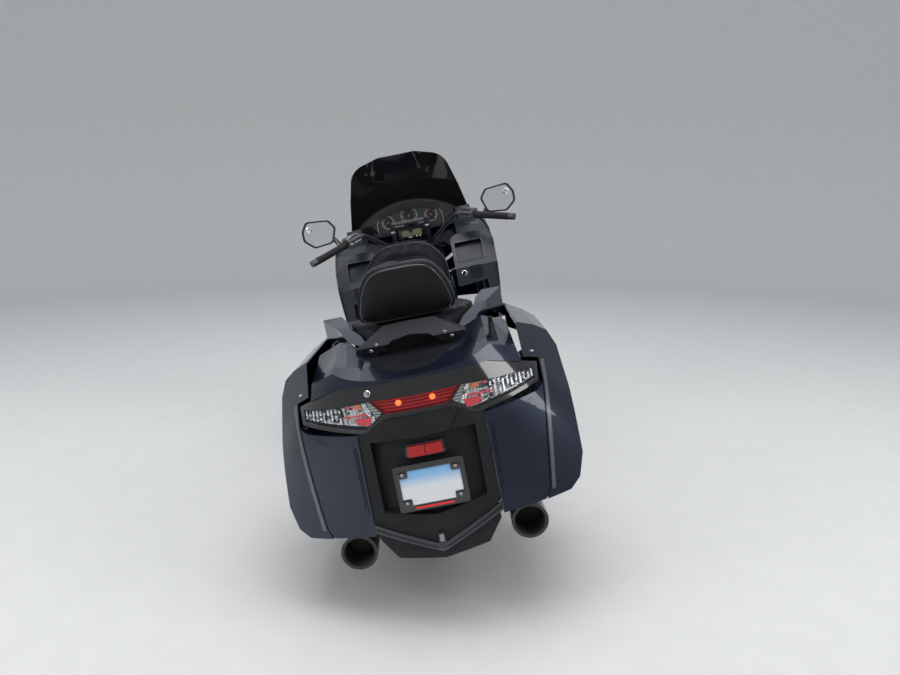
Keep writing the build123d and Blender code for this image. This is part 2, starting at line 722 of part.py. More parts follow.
with BuildPart() as screen_outline:
    with BuildSketch(Plane.XZ.offset(-1700)) as outline_face:
        with BuildLine():
            Polyline(*SCREEN_OUTLINE, close=True)
        make_face()
        by_height = outline_face.vertices().group_by(Axis.Y)
        fillet(by_height[-1] + by_height[-2], 115)
    extrude(amount=700)
screen_foot = SCREEN_FOOT + SEAT_GAP
screen_inner = screen_form(SCREEN_T, screen_foot)
with BuildPart() as windscreen:
    add(screen_form(0, screen_foot))
    add(screen_inner, mode=Mode.SUBTRACT)
    add(screen_outline.part, mode=Mode.INTERSECT)

# Dash: the arched hood over the dials, their panel, and the inner panels beside the rider's knees
DASH_Z = SCREEN_FOOT - 32.0
BROW_BACK = 1290.0
BROW_FRONT = 1400.0
BROW_T = 7.0
BROW_FOOT = 330.0
BROW_TOP = SCREEN_FOOT + 128.0
cabin_form = fairing_form(FAIRING_WALL + SEAT_GAP)
screen_space = screen_form(SCREEN_T + SEAT_GAP, SCREEN_FOOT - 4)


def arch_space(inset, low):
    """The space under the hood's arch, seen from behind, drawn in by an inset and down to a height."""
    with BuildPart() as space:
        with BuildSketch(Plane.XZ.offset(-BROW_FRONT)):
            with BuildLine():
                bow = ThreePointArc(
                    (-BROW_FOOT + inset, SCREEN_FOOT - 20), (0, BROW_TOP - inset),
                    (BROW_FOOT - inset, SCREEN_FOOT - 20),
                )
                Polyline(bow @ 1, (BROW_FOOT - inset, low), (-BROW_FOOT + inset, low), bow @ 0)
            make_face()
        extrude(amount=BROW_FRONT - BROW_BACK)
    return space.part


INNER_EDGE = [
    (878, FAIRING_SPLIT + 20), (915, 760), (958, 912), (1052, 1076), (1112, 1108), (1242, DASH_Z),
    (1560, DASH_Z), (1560, DASH_Z - 10), (1250, DASH_Z - 10), (1120, 1096), (1060, 1062), (970, 906),
    (927, 758), (890, FAIRING_SPLIT + 20),
]
STEER_PLAN = [
    (-192, 700), (192, 700), (192, 1040), (232, 1060), (232, 1242), (-232, 1242), (-232, 1060),
    (-192, 1040),
]
# Below the pockets the panels are cut away, apart from a strip along the fairing's edge
INNER_CUT = [(186, 700), (346, 700), (340, 838), (186, 824)]
POCKET_IN = 208.0
POCKET_OUT = 344.0
POCKET_LOW = 942.0
POCKET_HIGH = 1034.0
POCKET_DEPTH = 30.0
POCKET_WALL = 4.0


def pocket(wall, near, far):
    """A block along the inner panel's slope on both sides, between two distances ahead of its rear face."""
    (low_y, low_z), (high_y, high_z) = INNER_EDGE[2:4]
    slope = (high_y - low_y) / (high_z - low_z)
    low = POCKET_LOW - wall
    high = POCKET_HIGH + wall
    low_back = low_y + slope * (low - low_z)
    high_back = low_y + slope * (high - low_z)
    side = [
        (low_back + near, low), (high_back + near, high), (high_back + far, high), (low_back + far, low),
    ]
    return both_sides(plate_yz(side, POCKET_IN - wall, POCKET_OUT + wall))


with BuildPart() as inner_fairing:
    add(plate_yz(INNER_EDGE, -450, 450))
    add(pocket(POCKET_WALL, POCKET_WALL, POCKET_DEPTH + POCKET_WALL))
    add(cabin_form, mode=Mode.INTERSECT)
    add(plate_xy(STEER_PLAN, 600, DASH_Z + 100), mode=Mode.SUBTRACT)
    add(pocket(0, -POCKET_DEPTH, POCKET_DEPTH), mode=Mode.SUBTRACT)
    add(both_sides(plate_xz(INNER_CUT, 800, 980)), mode=Mode.SUBTRACT)
with BuildPart() as brow:
    add(arch_space(0, DASH_Z + SEAT_GAP))
    add(arch_space(BROW_T, DASH_Z - 10), mode=Mode.SUBTRACT)
with BuildPart() as brow_room:
    add(cabin_form)
    add(screen_space)
with BuildPart() as dash_hood:
    add(brow.part)
    add(brow_room.part, mode=Mode.INTERSECT)
PANEL_BACK = 1310.0
PANEL_FRONT = 1338.0
DIALS = [(-118.0, SCREEN_FOOT + 24, 34.0), (0.0, SCREEN_FOOT + 42, 44.0), (118.0, SCREEN_FOOT + 24, 34.0)]
with BuildPart() as instrument_panel:
    add(arch_space(BROW_T + SEAT_GAP, DASH_Z + SEAT_GAP))
    add(brow_room.part, mode=Mode.INTERSECT)
    panel_face = [(-400, DASH_Z), (400, DASH_Z), (400, BROW_TOP), (-400, BROW_TOP)]
    add(plate_xz(panel_face, PANEL_BACK, PANEL_FRONT), mode=Mode.INTERSECT)
    for dial_x, dial_z, dial_r in DIALS:
        with BuildSketch(Plane.XZ.offset(-PANEL_BACK)):
            with Locations((dial_x, dial_z)):
                Circle(dial_r)
        extrude(amount=-10, mode=Mode.SUBTRACT)

# Mirrors on stalks from the fairing's shoulders
MIRROR_X = 480.0
MIRROR_Y = 1215.0
MIRROR_Z = 1213.0
MIRROR_SHAPE = [(-92, 15), (-64, -64), (40, -75), (92, -29), (92, 21), (62, 71), (-60, 60)]
MIRROR_RIM = 6.0
MIRROR_WELL = 0.88
MIRROR_DEPTH = 26.0
MIRROR_TIP = (-20.0, 80.0, -8.0)
mirror_plane = Plane(origin=(MIRROR_X, MIRROR_Y, MIRROR_Z), x_dir=(1, 0, 0), z_dir=(0, -1, 0))
tip_plane = Plane(
    origin=(MIRROR_X + MIRROR_TIP[0], MIRROR_Y + MIRROR_TIP[1], MIRROR_Z + MIRROR_TIP[2]), x_dir=(1, 0, 0),
    z_dir=(0, -1, 0),
)


def mirror_points(scale):
    """The mirror's outline, seen from behind."""
    return [(scale * x, scale * z) for x, z in MIRROR_SHAPE]


with BuildPart() as mirror_right:
    with BuildSketch(mirror_plane) as rim_face:
        with BuildLine():
            Polyline(*mirror_points(1.0), close=True)
        make_face()
        fillet(rim_face.vertices(), 26)
    extrude(amount=-MIRROR_DEPTH)
    with BuildSketch(mirror_plane.offset(-MIRROR_DEPTH)) as back_face:
        with BuildLine():
            Polyline(*mirror_points(1.0), close=True)
        make_face()
        fillet(back_face.vertices(), 26)
    with BuildSketch(tip_plane) as tip_face:
        with BuildLine():
            Polyline(*mirror_points(0.45), close=True)
        make_face()
        fillet(tip_face.vertices(), 12)
    loft()
    with BuildSketch(mirror_plane) as well_face:
        with BuildLine():
            Polyline(*mirror_points(MIRROR_WELL), close=True)
        make_face()
        fillet(well_face.vertices(), 23)
    extrude(amount=-MIRROR_RIM, mode=Mode.SUBTRACT)
    # The stalk runs down to the fairing's shoulder
    with BuildSketch(Plane(origin=(370, 1240, 1100), x_dir=(0, 1, 0), z_dir=(0.6, 0, 0.8))):
        Ellipse(34, 16)
    with BuildSketch(Plane(origin=(430, 1262, 1190), x_dir=(0, 1, 0), z_dir=(0.7, 0, 0.7))):
        Ellipse(24, 13)
    loft()
with BuildPart() as mirror_clear:
    add(mirror_right.part)
    add(fairing_form(-SEAT_GAP), mode=Mode.SUBTRACT)
with BuildPart() as glass_right:
    with BuildSketch(mirror_plane.offset(-2)) as glass_face:
        with BuildLine():
            Polyline(*mirror_points(MIRROR_WELL - 0.004), close=True)
        make_face()
        fillet(glass_face.vertices(), 23)
    extrude(amount=-MIRROR_RIM + 2)
mirrors = both_sides(mirror_clear.part)
mirror_glasses = both_sides(glass_right.part)


# Tail skins, seen from behind: the lamps, the black panel round them, the valance and the painted bag faces
SKIN = 5.0
PANEL_INSET = 5.0
LAMP_DEPTH = 34.0
COWL_LIP = [(0, 772), (230, 763), (330, 724), (382, 700)]
TAIL_FOOT = [(374, 652), (164, 630), (100, 668), (0, 668)]
BRAKE_LAMP = [(0, 722), (134, 722), (95, 682), (0, 682)]
CORNER_LAMP = [(138, 722), (366, 694), (364, 662), (162, 641), (99, 681)]
VALANCE_HALF = BAG_IN - SEAT_GAP
VALANCE_RIGHT = [(0, 667), (100, 667), (163, 629), (VALANCE_HALF, 631), (VALANCE_HALF, 371), (0, 290)]
TRIM_RIGHT = [(0, 322), (9, 322), (11, 293.7), (VALANCE_HALF, 370), (VALANCE_HALF, 345), (0, 267)]
TRIM_SLOT = [(16, 287), (VALANCE_HALF - 8, 358), (VALANCE_HALF - 8, 352), (16, 281)]
SKIRT_RIGHT = [(0, 300), (VALANCE_HALF - 10, 378), (VALANCE_HALF - 10, 322), (134, 264), (0, 246)]
RECESS_RIGHT = [(0, 604), (156, 604), (152, 398), (0, 374)]
VISOR_RIGHT = [(0, 667), (100, 667), (113, 659), (76, 610), (0, 606)]
VISOR_PROUD = 12.0
RECESS_DEPTH = 24.0
SKIRT_INSET = 2.0
TRIM_PROUD = -5.0


def whole(right):
    """A full outline from its right half, whose first and last points lie on the middle line."""
    return list(right) + [(-x, z) for x, z in reversed(right) if x > 0]


def rear_cut(points):
    """A long prism through the tail: an outline seen from behind."""
    return plate_xz(points, -720, -60)


brake_lamp_part = rear_skin(whole(BRAKE_LAMP), 0, LAMP_DEPTH)
with BuildPart() as corner_right:
    add(rear_skin(CORNER_LAMP, 0, LAMP_DEPTH))
corner_lamps = both_sides(corner_right.part)
with BuildPart() as tail_panel:
    add(rear_skin(whole(COWL_LIP + TAIL_FOOT), PANEL_INSET, PANEL_INSET + 30))
    add(brake_lamp_part, mode=Mode.SUBTRACT)
    add(corner_lamps, mode=Mode.SUBTRACT)
with BuildPart() as rear_valance:
    add(rear_skin(whole(VALANCE_RIGHT), 3, 3 + RECESS_DEPTH + SKIN))
    add(rear_skin(whole(RECESS_RIGHT), -20, 3 + RECESS_DEPTH), mode=Mode.SUBTRACT)
    add(rear_skin(whole(SKIRT_RIGHT), SKIRT_INSET, SKIRT_INSET + SKIN))
    add(rear_skin(whole(VISOR_RIGHT), -VISOR_PROUD, SKIN))
with BuildPart() as bumper_trim:
    add(rear_skin(whole(TRIM_RIGHT), TRIM_PROUD, SKIRT_INSET))
    add(both_sides(rear_skin(TRIM_SLOT, 2 * TRIM_PROUD, TRIM_PROUD / 2)), mode=Mode.SUBTRACT)

# Saddlebags: a box open on its outer side, closed by a deep lid that is hinged along its foot
BAG_FRONT = 150.0
BAG_FOOT_Z = 333.0
BAG_RIGHT = [(BAG_IN, BAG_FOOT_Z), (322, 331), (338, 356), (384, 640), (364, 630), (BAG_IN, 628)]
BAG_ROOM = [
    (BAG_IN + BAG_WALL, BAG_FOOT_Z + BAG_WALL), (328, BAG_FOOT_Z + BAG_WALL), (420, 350), (420, 625),
    (BAG_IN + BAG_WALL, 624),
]
LID_RIGHT = [
    (327, 329), (404, 328), (440, 350), (466, 410), (474, 590), (468, 712), (446, 764), (404, 796),
    (348, 826), (340, 826), (340, 734), (391, 708), (387, 640), (341, 356),
]
LID_ROOM = [
    (300, 333), (403, 332), (437, 353), (462, 411), (470, 590), (464, 711), (443, 760), (402, 792),
    (346, 821), (300, 821),
]
# Two flat steps that stand proud of each bag's rear face, the outer one first: outline, proud by, starts at
BAG_STEPS = [
    ([(202, 592), (346, 621), (311, 484), (199, 386)], 2.5, 1.0),
    ([(208, 586), (339, 613), (305, 490), (205, 400)], 5.0, -2.0),
]
NOSE_PLAN = [(120, -700), (520, -700), (520, -40), (452, 100), (330, BAG_FRONT), (120, BAG_FRONT)]
NOSE_ROOM = [
    (120, -700), (520, -700), (520, -42), (449, 97), (328, BAG_FRONT - BAG_WALL),
    (120, BAG_FRONT - BAG_WALL),
]
rear_outer = rear_form(0)
rear_inner = rear_form(BAG_WALL)
nose_outer = plate_xy(NOSE_PLAN, 200, 900)
nose_inner = plate_xy(NOSE_ROOM, 200, 900)
with BuildPart() as bag_room:
    add(plate_xz(BAG_ROOM, -700, 400))
    add(rear_inner, mode=Mode.INTERSECT)
    add(nose_inner, mode=Mode.INTERSECT)
with BuildPart() as lid_room:
    add(plate_xz(LID_ROOM, -700, 400))
    add(rear_inner, mode=Mode.INTERSECT)
    add(nose_inner, mode=Mode.INTERSECT)
with BuildPart() as saddlebag_right:
    add(plate_xz(BAG_RIGHT, -700, 400))
    add(rear_outer, mode=Mode.INTERSECT)
    add(nose_outer, mode=Mode.INTERSECT)
    add(bag_room.part, mode=Mode.SUBTRACT)
    for step_face, proud, start in BAG_STEPS:
        add(rear_skin(step_face, -proud, start, 9))
with BuildPart() as lid_right:
    add(plate_xz(LID_RIGHT, -700, 400))
    add(rear_outer, mode=Mode.INTERSECT)
    add(nose_outer, mode=Mode.INTERSECT)
    add(lid_room.part, mode=Mode.SUBTRACT)

# Hinges under the lids: a pin in two lugs of the bag, and the lid's barrel round it
HINGE_X = 340.0
HINGE_Z = 314.0
HINGE_PIN_R = 4.0
BARREL_R = 8.0
HINGE_YS = (-330.0, 40.0)
BARREL_HALF = 11.0
LUG_T = 10.0
LUG_SIDE = [(-44, 20), (-27, 20), (-16, 8), (5, 5), (5, -6), (-10, -6)]
WEB_SIDE = [(2, 2), (8, 16), (26, 16), (6, -4)]
with BuildPart() as hinged_bag:
    add(saddlebag_right.part)
    for hinge_y in HINGE_YS:
        for lug_y in (hinge_y - BARREL_HALF - 1 - LUG_T, hinge_y + BARREL_HALF + 1):
            add(plate_xz([(HINGE_X + x, HINGE_Z + z) for x, z in LUG_SIDE], lug_y, lug_y + LUG_T))
        pin_half = BARREL_HALF + 1 + LUG_T
        pin_ends = [(HINGE_X, hinge_y - pin_half, HINGE_Z), (HINGE_X, hinge_y + pin_half, HINGE_Z)]
        add(rod(*pin_ends, HINGE_PIN_R))
with BuildPart() as hinged_lid:
    add(lid_right.part)
    for hinge_y in HINGE_YS:
        web = [(HINGE_X + x, HINGE_Z + z) for x, z in WEB_SIDE]
        back = hinge_y - BARREL_HALF
        front = hinge_y + BARREL_HALF
        add(plate_xz(web, back, front))
        add(rod((HINGE_X, back, HINGE_Z), (HINGE_X, front, HINGE_Z), BARREL_R))
        bore_ends = [(HINGE_X, hinge_y - 40, HINGE_Z), (HINGE_X, hinge_y + 40, HINGE_Z)]
        add(rod(*bore_ends, HINGE_PIN_R + PIN_GAP), mode=Mode.SUBTRACT)

# Rear cowl: two shoulders falling to a lip over the lamps, open in the middle behind the seat
COWL_T = 6.0
COWL_TABLE = [
    (125.0, [(0, 740), (150, 750), (262, 792), (316, 774), (330, 720)]),
    (-180.0, [(0, 806), (150, 816), (240, 852), (318, 822), (332, 720)]),
    (-400.0, [(0, 790), (150, 798), (238, 818), (322, 764), (333, 716)]),
    (-640.0, [(0, 770), (150, 766), (236, 757), (324, 720), (334, 700)]),
]
COWL_FOOT = 640.0
# What is cut away under the cowl's lip: down from the lip's line, a seat gap above it
COWL_UNDER = [(0, 600), (400, 600), (400, 700)] + [(x, z + SEAT_GAP) for x, z in reversed(COWL_LIP)]
COWL_NOTCH = [
    (0, 200), (262, 200), (262, -20), (216, -150), (196, -196), (100, -420), (52, -475), (0, -480),
]
BOWL_PLAN = [(0, -150), (216, -150), (196, -196), (100, -420), (52, -475), (0, -480)]


def cowl_form(drop):
    """The solid under the cowl's top faces, lowered and drawn in by a drop."""
    with BuildPart() as form:
        for at_y, row in COWL_TABLE:
            with BuildSketch(Plane.XZ.offset(-at_y)):
                with BuildLine():
                    right = [(max(x - drop, 0), z - drop) for x, z in row]
                    Polyline(*right, (right[-1][0], COWL_FOOT), (-right[-1][0], COWL_FOOT),
                             *[(-x, z) for x, z in reversed(right[1:])], close=True)
                make_face()
        loft(ruled=True)
    return form.part


with BuildPart() as cowl_blank:
    add(cowl_form(0))
    add(rear_form(1), mode=Mode.INTERSECT)
with BuildPart() as cowl_core:
    add(cowl_form(COWL_T))
    add(rear_form(1 + COWL_T), mode=Mode.INTERSECT)
with BuildPart() as rear_cowl:
    add(cowl_blank.part)
    add(cowl_core.part, mode=Mode.SUBTRACT)
    add(plate_xy(whole(COWL_NOTCH), 600, 900), mode=Mode.SUBTRACT)
    add(rear_cut(whole(COWL_UNDER)), mode=Mode.SUBTRACT)

# Carrier behind the passenger's backrest: an arched bridge with two bolts a side, over a black bowl
CARRIER_RIGHT = [(0, 884), (88, 882), (182, 826), (176, 806), (122, 796), (62, 838), (0, 846)]
CARRIER_BACK = -262.0
CARRIER_FRONT = -190.0
BOWL_DROP = 12.0
BOWL_T = 6.0
SHELF_SIDE = [
    (-89.6, 889.1), (-124.9, 882.2), (-150, 877), (-194, 868), (-214, 856), (-192, 846), (-150, 860),
    (-89.6, 875),
]
SHELF_HALF = 112.0
with BuildPart() as bowl:
    add(plate_xy(whole(BOWL_PLAN), 600, 900))
    add(cowl_form(BOWL_DROP), mode=Mode.INTERSECT)
    add(cowl_form(BOWL_DROP + BOWL_T), mode=Mode.SUBTRACT)
with BuildPart() as backrest_carrier:
    add(plate_xz(whole(CARRIER_RIGHT), CARRIER_BACK, CARRIER_FRONT))
    with BuildSketch(Plane.YZ.offset(-400)):
        with BuildLine():
            Polyline((-150, 900), (-175, 900), (-262, 830), (-268, 780), (-150, 780), close=True)
        make_face()
    extrude(amount=800, mode=Mode.INTERSECT)
    add(plate_yz(SHELF_SIDE, -SHELF_HALF, SHELF_HALF))
    add(bowl.part)
    add(rear_cowl.part, mode=Mode.SUBTRACT)

# Grab rails: a wing on each side, from the carrier out and forward past the seat's edge
RAIL_PLAN = [
    (186, -250), (200, -180), (272, -12), (338, 104), (332, 152), (300, 168), (272, 120), (238, 40),
    (228, -20), (182, -94), (150, -190),
]
RAIL_HEIGHTS = [
    (-260, 790), (-260, 812), (-180, 822), (-10, 872), (110, 898), (170, 892), (170, 856), (140, 786),
    (96, 786), (60, 812), (-10, 838), (-170, 800),
]
with BuildPart() as rail_right:
    add(plate_xy(RAIL_PLAN, 700, 950))
    add(plate_yz(RAIL_HEIGHTS, 100, 400), mode=Mode.INTERSECT)
with BuildPart() as rail_clear:
    add(rail_right.part)
    add(backrest_carrier.part, mode=Mode.SUBTRACT)
    add(cowl_blank.part, mode=Mode.SUBTRACT)
grab_rails = both_sides(rail_clear.part)

# Seat: the rider's saddle, a bolster, and the passenger's saddle behind it
SEAT_SIDE = [
    (560, 612.3), (598, 612.3), (604, 700), (592, 768), (520, 745), (420, 727), (320, 728), (272, 770),
    (238, 852), (150, 868), (0, 880), (-52, 882), (-64, 800), (-70, 681.4), (300, 640.3),
]
SEAT_PLAN = [
    (0, 620), (96, 612), (128, 520), (176, 400), (198, 300), (214, 200), (232, 70), (222, -20),
    (176, -90), (0, -90),
]
with BuildPart() as seat_blank:
    add(plate_yz(SEAT_SIDE, -300, 300, 5))
    add(plate_xy(whole(SEAT_PLAN), 500, 1000), mode=Mode.INTERSECT)
with BuildPart() as seat:
    add(seat_blank.part)
    with BuildSketch(Plane.XZ.offset(-700)):
        with BuildLine():
            Polyline((-124, 600), (-124, 720), (-262, 800), (-262, 600), close=True)
        make_face()
        mirror(about=Plane.YZ)
    extrude(amount=900, mode=Mode.SUBTRACT)

# Backrests: a small arched pad for the rider, and a wide one for the passenger
RIDER_PAD = [
    (-146, 896), (-172, 960), (-168, 1045), (-112, 1118), (-50, 1138), (50, 1138), (112, 1118),
    (168, 1045), (172, 960), (146, 896),
]
PASSENGER_PAD = [
    (-138, 894), (-176, 910), (-176, 950), (-156, 1020), (-118, 1078), (-70, 1094), (70, 1094),
    (118, 1078), (156, 1020), (176, 950), (176, 910), (138, 894),
]


def pad(points, at_y, thickness, lean, corner, edge):
    """A padded back, leaned back about its foot."""
    foot = min(z for x, z in points)
    with BuildPart() as made:
        with BuildSketch(Plane.XZ) as face:
            with BuildLine():
                Polyline(*[(x, z - foot) for x, z in points], close=True)
            make_face()
            fillet(face.vertices(), corner)
        extrude(amount=thickness)
        fillet(made.edges().filter_by(Plane.XZ), edge)
    return Location((0, at_y, foot)) * Rotation(lean, 0, 0) * made.part


PAD_LEAN = 11.0
POST_LOW = 800.0
POST_HIGH = 914.0
with BuildPart() as rider_backrest:
    add(pad(RIDER_PAD, 286, 62, PAD_LEAN, 26, 18))
    for side in (-1, 1):
        with BuildSketch(Plane.XY.offset(POST_LOW)):
            with Locations((side * 60, 252)):
                RectangleRounded(34, 10, 3)
        extrude(amount=POST_HIGH - POST_LOW)
    add(seat_blank.part, mode=Mode.SUBTRACT)
with BuildPart() as passenger_backrest:
    add(pad(PASSENGER_PAD, -66, 84, PAD_LEAN, 40, 24))

# Tank cover over the spars, and the side covers under the seat
TANK_SIDE = [
    (612, 594.6), (640, 600.4), (1090, 776.9), (1090, 860), (1040, 892), (960, 906), (800, 884),
    (680, 826), (618, 775),
]
TANK_HALF = 176.0
with BuildPart() as tank_cover:
    add(plate_yz(TANK_SIDE, -TANK_HALF, TANK_HALF))
    outer_edges = tank_cover.edges().filter_by(Axis.X, reverse=True)
    fillet(outer_edges.filter_by(lambda edge: edge.center().Z > 830), 46)
    with BuildSketch(Plane.XY.offset(500)):
        with BuildLine():
            Polyline((-400, 600), (-400, 900), (-TANK_HALF, 900), (-120, 600), close=True)
        make_face()
        mirror(about=Plane.YZ)
    extrude(amount=500, mode=Mode.SUBTRACT)
COVER_SIDE = [(612, 590), (520, 300), (430, 300), (250, 500), (200, 640), (300, 660), (560, 640)]
with BuildPart() as side_cover:
    add(plate_yz(COVER_SIDE, SPAR_OUT + SEAT_GAP, SPAR_OUT + 6, 12))
side_covers = both_sides(side_cover.part)

# Footrests: the rider's pegs on the pivot plates, and the passenger's boards on arms from the rails
PEG_Y = 600.0
PEG_Z = 368.0
PEG_BOSS_R = 18.0
with BuildPart() as rests_right:
    with BuildSketch(Plane.YZ.offset(SPAR_OUT + SEAT_GAP)):
        with Locations((PEG_Y, PEG_Z)):
            Circle(PEG_BOSS_R)
    extrude(amount=16)
    with BuildSketch(Plane.YZ.offset(SPAR_OUT + 10)):
        with Locations((PEG_Y, PEG_Z)):
            SlotOverall(60, 26)
    extrude(amount=170)
with BuildPart() as board_right:
    with BuildSketch(Plane.XY.offset(418)):
        with Locations((284, 300)):
            RectangleRounded(104, 150, 26)
    extrude(amount=18)
    add(plate_xz([(RAIL_OUT + SEAT_GAP, 650), (RAIL_OUT + 22, 650), (260, 440), (260, 424), (228, 424),
                  (RAIL_OUT + SEAT_GAP, 585)], 262, 282))
    add(side_cover.part, mode=Mode.SUBTRACT)
with BuildPart() as footrests_right:
    add(rests_right.part)
    add(board_right.part)
footrests = both_sides(footrests_right.part)

# Handlebar on two risers, with its end weights, grips and hand controls
BAR_R = 11.0
GRIP_R = 17.0
BAR_POINTS = [(0, 1196, 1046), (84, 1196, 1046), (236, 1014, 1172), (470, 840, 1103)]
GRIP_INNER = 0.40
right_run = Vector(*BAR_POINTS[3]) - Vector(*BAR_POINTS[2])


def along_grip(share):
    """A point along the straight run that carries the grip."""
    point = Vector(*BAR_POINTS[2]) + right_run * share
    return (point.X, point.Y, point.Z)


BAR_FULL = [(-x, y, z) for x, y, z in reversed(BAR_POINTS[1:])] + BAR_POINTS[1:]
RISER_X = 48.0
with BuildPart() as handlebar:
    add(tube(BAR_FULL, 36, BAR_R))
    for side in (-1, 1):
        riser_plane = steer_plane(TOP_YOKE + YOKE_TOP_T + SEAT_GAP)
        with BuildSketch(riser_plane):
            with Locations((side * RISER_X, -14)):
                Circle(19)
        extrude(amount=116)
    for side in (-1, 1):
        tip = along_grip(1.0)
        far = along_grip(1.1)
        add(rod((side * tip[0], tip[1], tip[2]), (side * far[0], far[1], far[2]), GRIP_R - 1))


def grip_sleeve(side):
    """A grip on the bar's straight run."""
    near = along_grip(GRIP_INNER)
    far = along_grip(0.985)
    start = Vector(side * near[0], near[1], near[2])
    run = Vector(side * far[0], far[1], far[2]) - start
    with BuildPart() as made:
        with BuildSketch(Plane(origin=start, z_dir=run)):
            Circle(GRIP_R)
            Circle(BAR_R + PIN_GAP, mode=Mode.SUBTRACT)
        extrude(amount=run.length)
    return made.part


grips = both_sides(grip_sleeve(1))
control_start = along_grip(0.12)
control_plane = Plane(origin=control_start, x_dir=(0.6, 0.9, 0.35), z_dir=right_run)
with BuildPart() as controls_right:
    with BuildSketch(control_plane):
        RectangleRounded(58, 54, 12)
        Circle(BAR_R + PIN_GAP, mode=Mode.SUBTRACT)
    extrude(amount=right_run.length * 0.26)
# The lever: shares of the grip's run, and how far ahead of it in lever reaches
LEVER_REACH = Vector(0.25, 0.93, 0.1) * 58
LEVER_R = 6.0
LEVER_BENDS = [(0.30, 0.4), (0.40, 1.0), (0.70, 1.08), (0.97, 1.3)]
with BuildPart() as lever_right:
    lever_route = [tuple(Vector(*along_grip(share)) + LEVER_REACH * ahead) for share, ahead in LEVER_BENDS]
    add(tube(lever_route, 30, LEVER_R))
    add(controls_right.part)
with BuildPart() as reservoir_right:
    with BuildSketch(Plane.XY.offset(1160)):
        with Locations(Location((278, 1018, 0), 35)):
            RectangleRounded(66, 46, 8)
    extrude(amount=42)
    add(lever_right.part)
    add(tube(BAR_FULL, 36, BAR_R + PIN_GAP), mode=Mode.SUBTRACT)
hand_controls = both_sides(reservoir_right.part)

# Number plate in its frame, in the valance's recess, with the reflectors and the side markers
PLATE_Z = 464.0
PLATE_W = 178.0
PLATE_H = 102.0
PLATE_TILT = 6.0
PLATE_Y = -586.0
plate_facing = (0, -cos(radians(PLATE_TILT)), sin(radians(PLATE_TILT)))
plate_plane = Plane(origin=(0, PLATE_Y, PLATE_Z), x_dir=(1, 0, 0), z_dir=plate_facing)
with BuildPart() as plate_frame:
    with BuildSketch(plate_plane):
        RectangleRounded(PLATE_W + 28, PLATE_H + 34, 8)
    extrude(amount=-5)
    with BuildSketch(plate_plane):
        RectangleRounded(PLATE_W + 28, PLATE_H + 34, 8)
        RectangleRounded(PLATE_W + 2 * SEAT_GAP, PLATE_H + 2 * SEAT_GAP, 3, mode=Mode.SUBTRACT)
    extrude(amount=4)
    with BuildSketch(plate_plane.offset(-5)):
        Rectangle(90, 60)
    extrude(amount=-60)
    add(rear_skin(whole(VALANCE_RIGHT), 3 + RECESS_DEPTH, 90), mode=Mode.SUBTRACT)
with BuildPart() as number_plate:
    with BuildSketch(plate_plane.offset(SEAT_GAP)):
        RectangleRounded(PLATE_W, PLATE_H, 3)
    extrude(amount=2)
with BuildPart() as reflectors:
    add(rear_skin([(-52, 545), (52, 545), (50, 576), (-50, 576)], 3 + RECESS_DEPTH - 16, 3 + RECESS_DEPTH))
with BuildPart() as side_marker_right:
    with BuildSketch(Plane.YZ.offset(380)):
        with Locations((-180, 398)):
            RectangleRounded(70, 26, 6)
    extrude(amount=98)
    add(lid_right.part, mode=Mode.SUBTRACT)
    add(lid_room.part, mode=Mode.SUBTRACT)
with BuildPart() as antenna:
    with BuildSketch(Plane.XY.offset(740)):
        with Locations((258, -385)):
            Ellipse(20, 50)
    with BuildSketch(Plane.XY.offset(852)):
        with Locations((262, -350)):
            Ellipse(8, 18)
    loft()
    with BuildSketch(Plane.XY.offset(851)):
        with Locations((262, -348)):
            Circle(7)
    extrude(amount=20)
    add(cowl_blank.part, mode=Mode.SUBTRACT)


# Parking: the lean, then the small pitch and lift that put both tyres on the floor
def lowest(shape):
    """Lowest height of a shape."""
    return shape.bounding_box().min.Z


steer_pole = steer_plane(0)
steer_turn = (
    Location(steer_pole.location) * Rotation(0, 0, PARKED_STEER) * Location(steer_pole.location).inverse()
)
leaned = Rotation(0, -LEAN, 0)
front_low = lowest(leaned * (steer_turn * front_tyre))
rear_low = lowest(leaned * rear_tyre)
pitch = Rotation(degrees(atan2(rear_low - front_low, WHEELBASE)), 0, 0)
lift = -lowest(pitch * (leaned * rear_tyre))
standing = Pos(0, 0, lift) * pitch * leaned

# Side stand, hinged outside the left collector: its foot lies on the floor when the machine leans on it
STAND_PIVOT = Vector(-196, 640, 250)
STAND_FOOT_AT = (-352.0, 575.0)
STAND_R = 11.0
STAND_EYE_R = 16.0
STAND_EYE_HALF = 8.0
STAND_PIN_R = 6.0
STAND_EAR_T = 7.0
STAND_NECK = 24.0
STAND_FOLDED = Vector(-0.16, -0.985, 0.06)
FOOT_T = 7.0
floor_in = standing.inverse()
foot_low = (floor_in * Location((*STAND_FOOT_AT, 0))).position
stand_down = (foot_low - STAND_PIVOT).normalized()
stand_axis = stand_down.cross(STAND_FOLDED).normalized()
eye_plane = Plane(origin=STAND_PIVOT, z_dir=stand_axis)
neck_plane = Plane(origin=STAND_PIVOT, x_dir=stand_axis, z_dir=stand_down)
with BuildPart() as foot_pad:
    with BuildSketch(Plane.XY):
        with Locations(STAND_FOOT_AT):
            RectangleRounded(46, 74, 14)
    extrude(amount=FOOT_T)
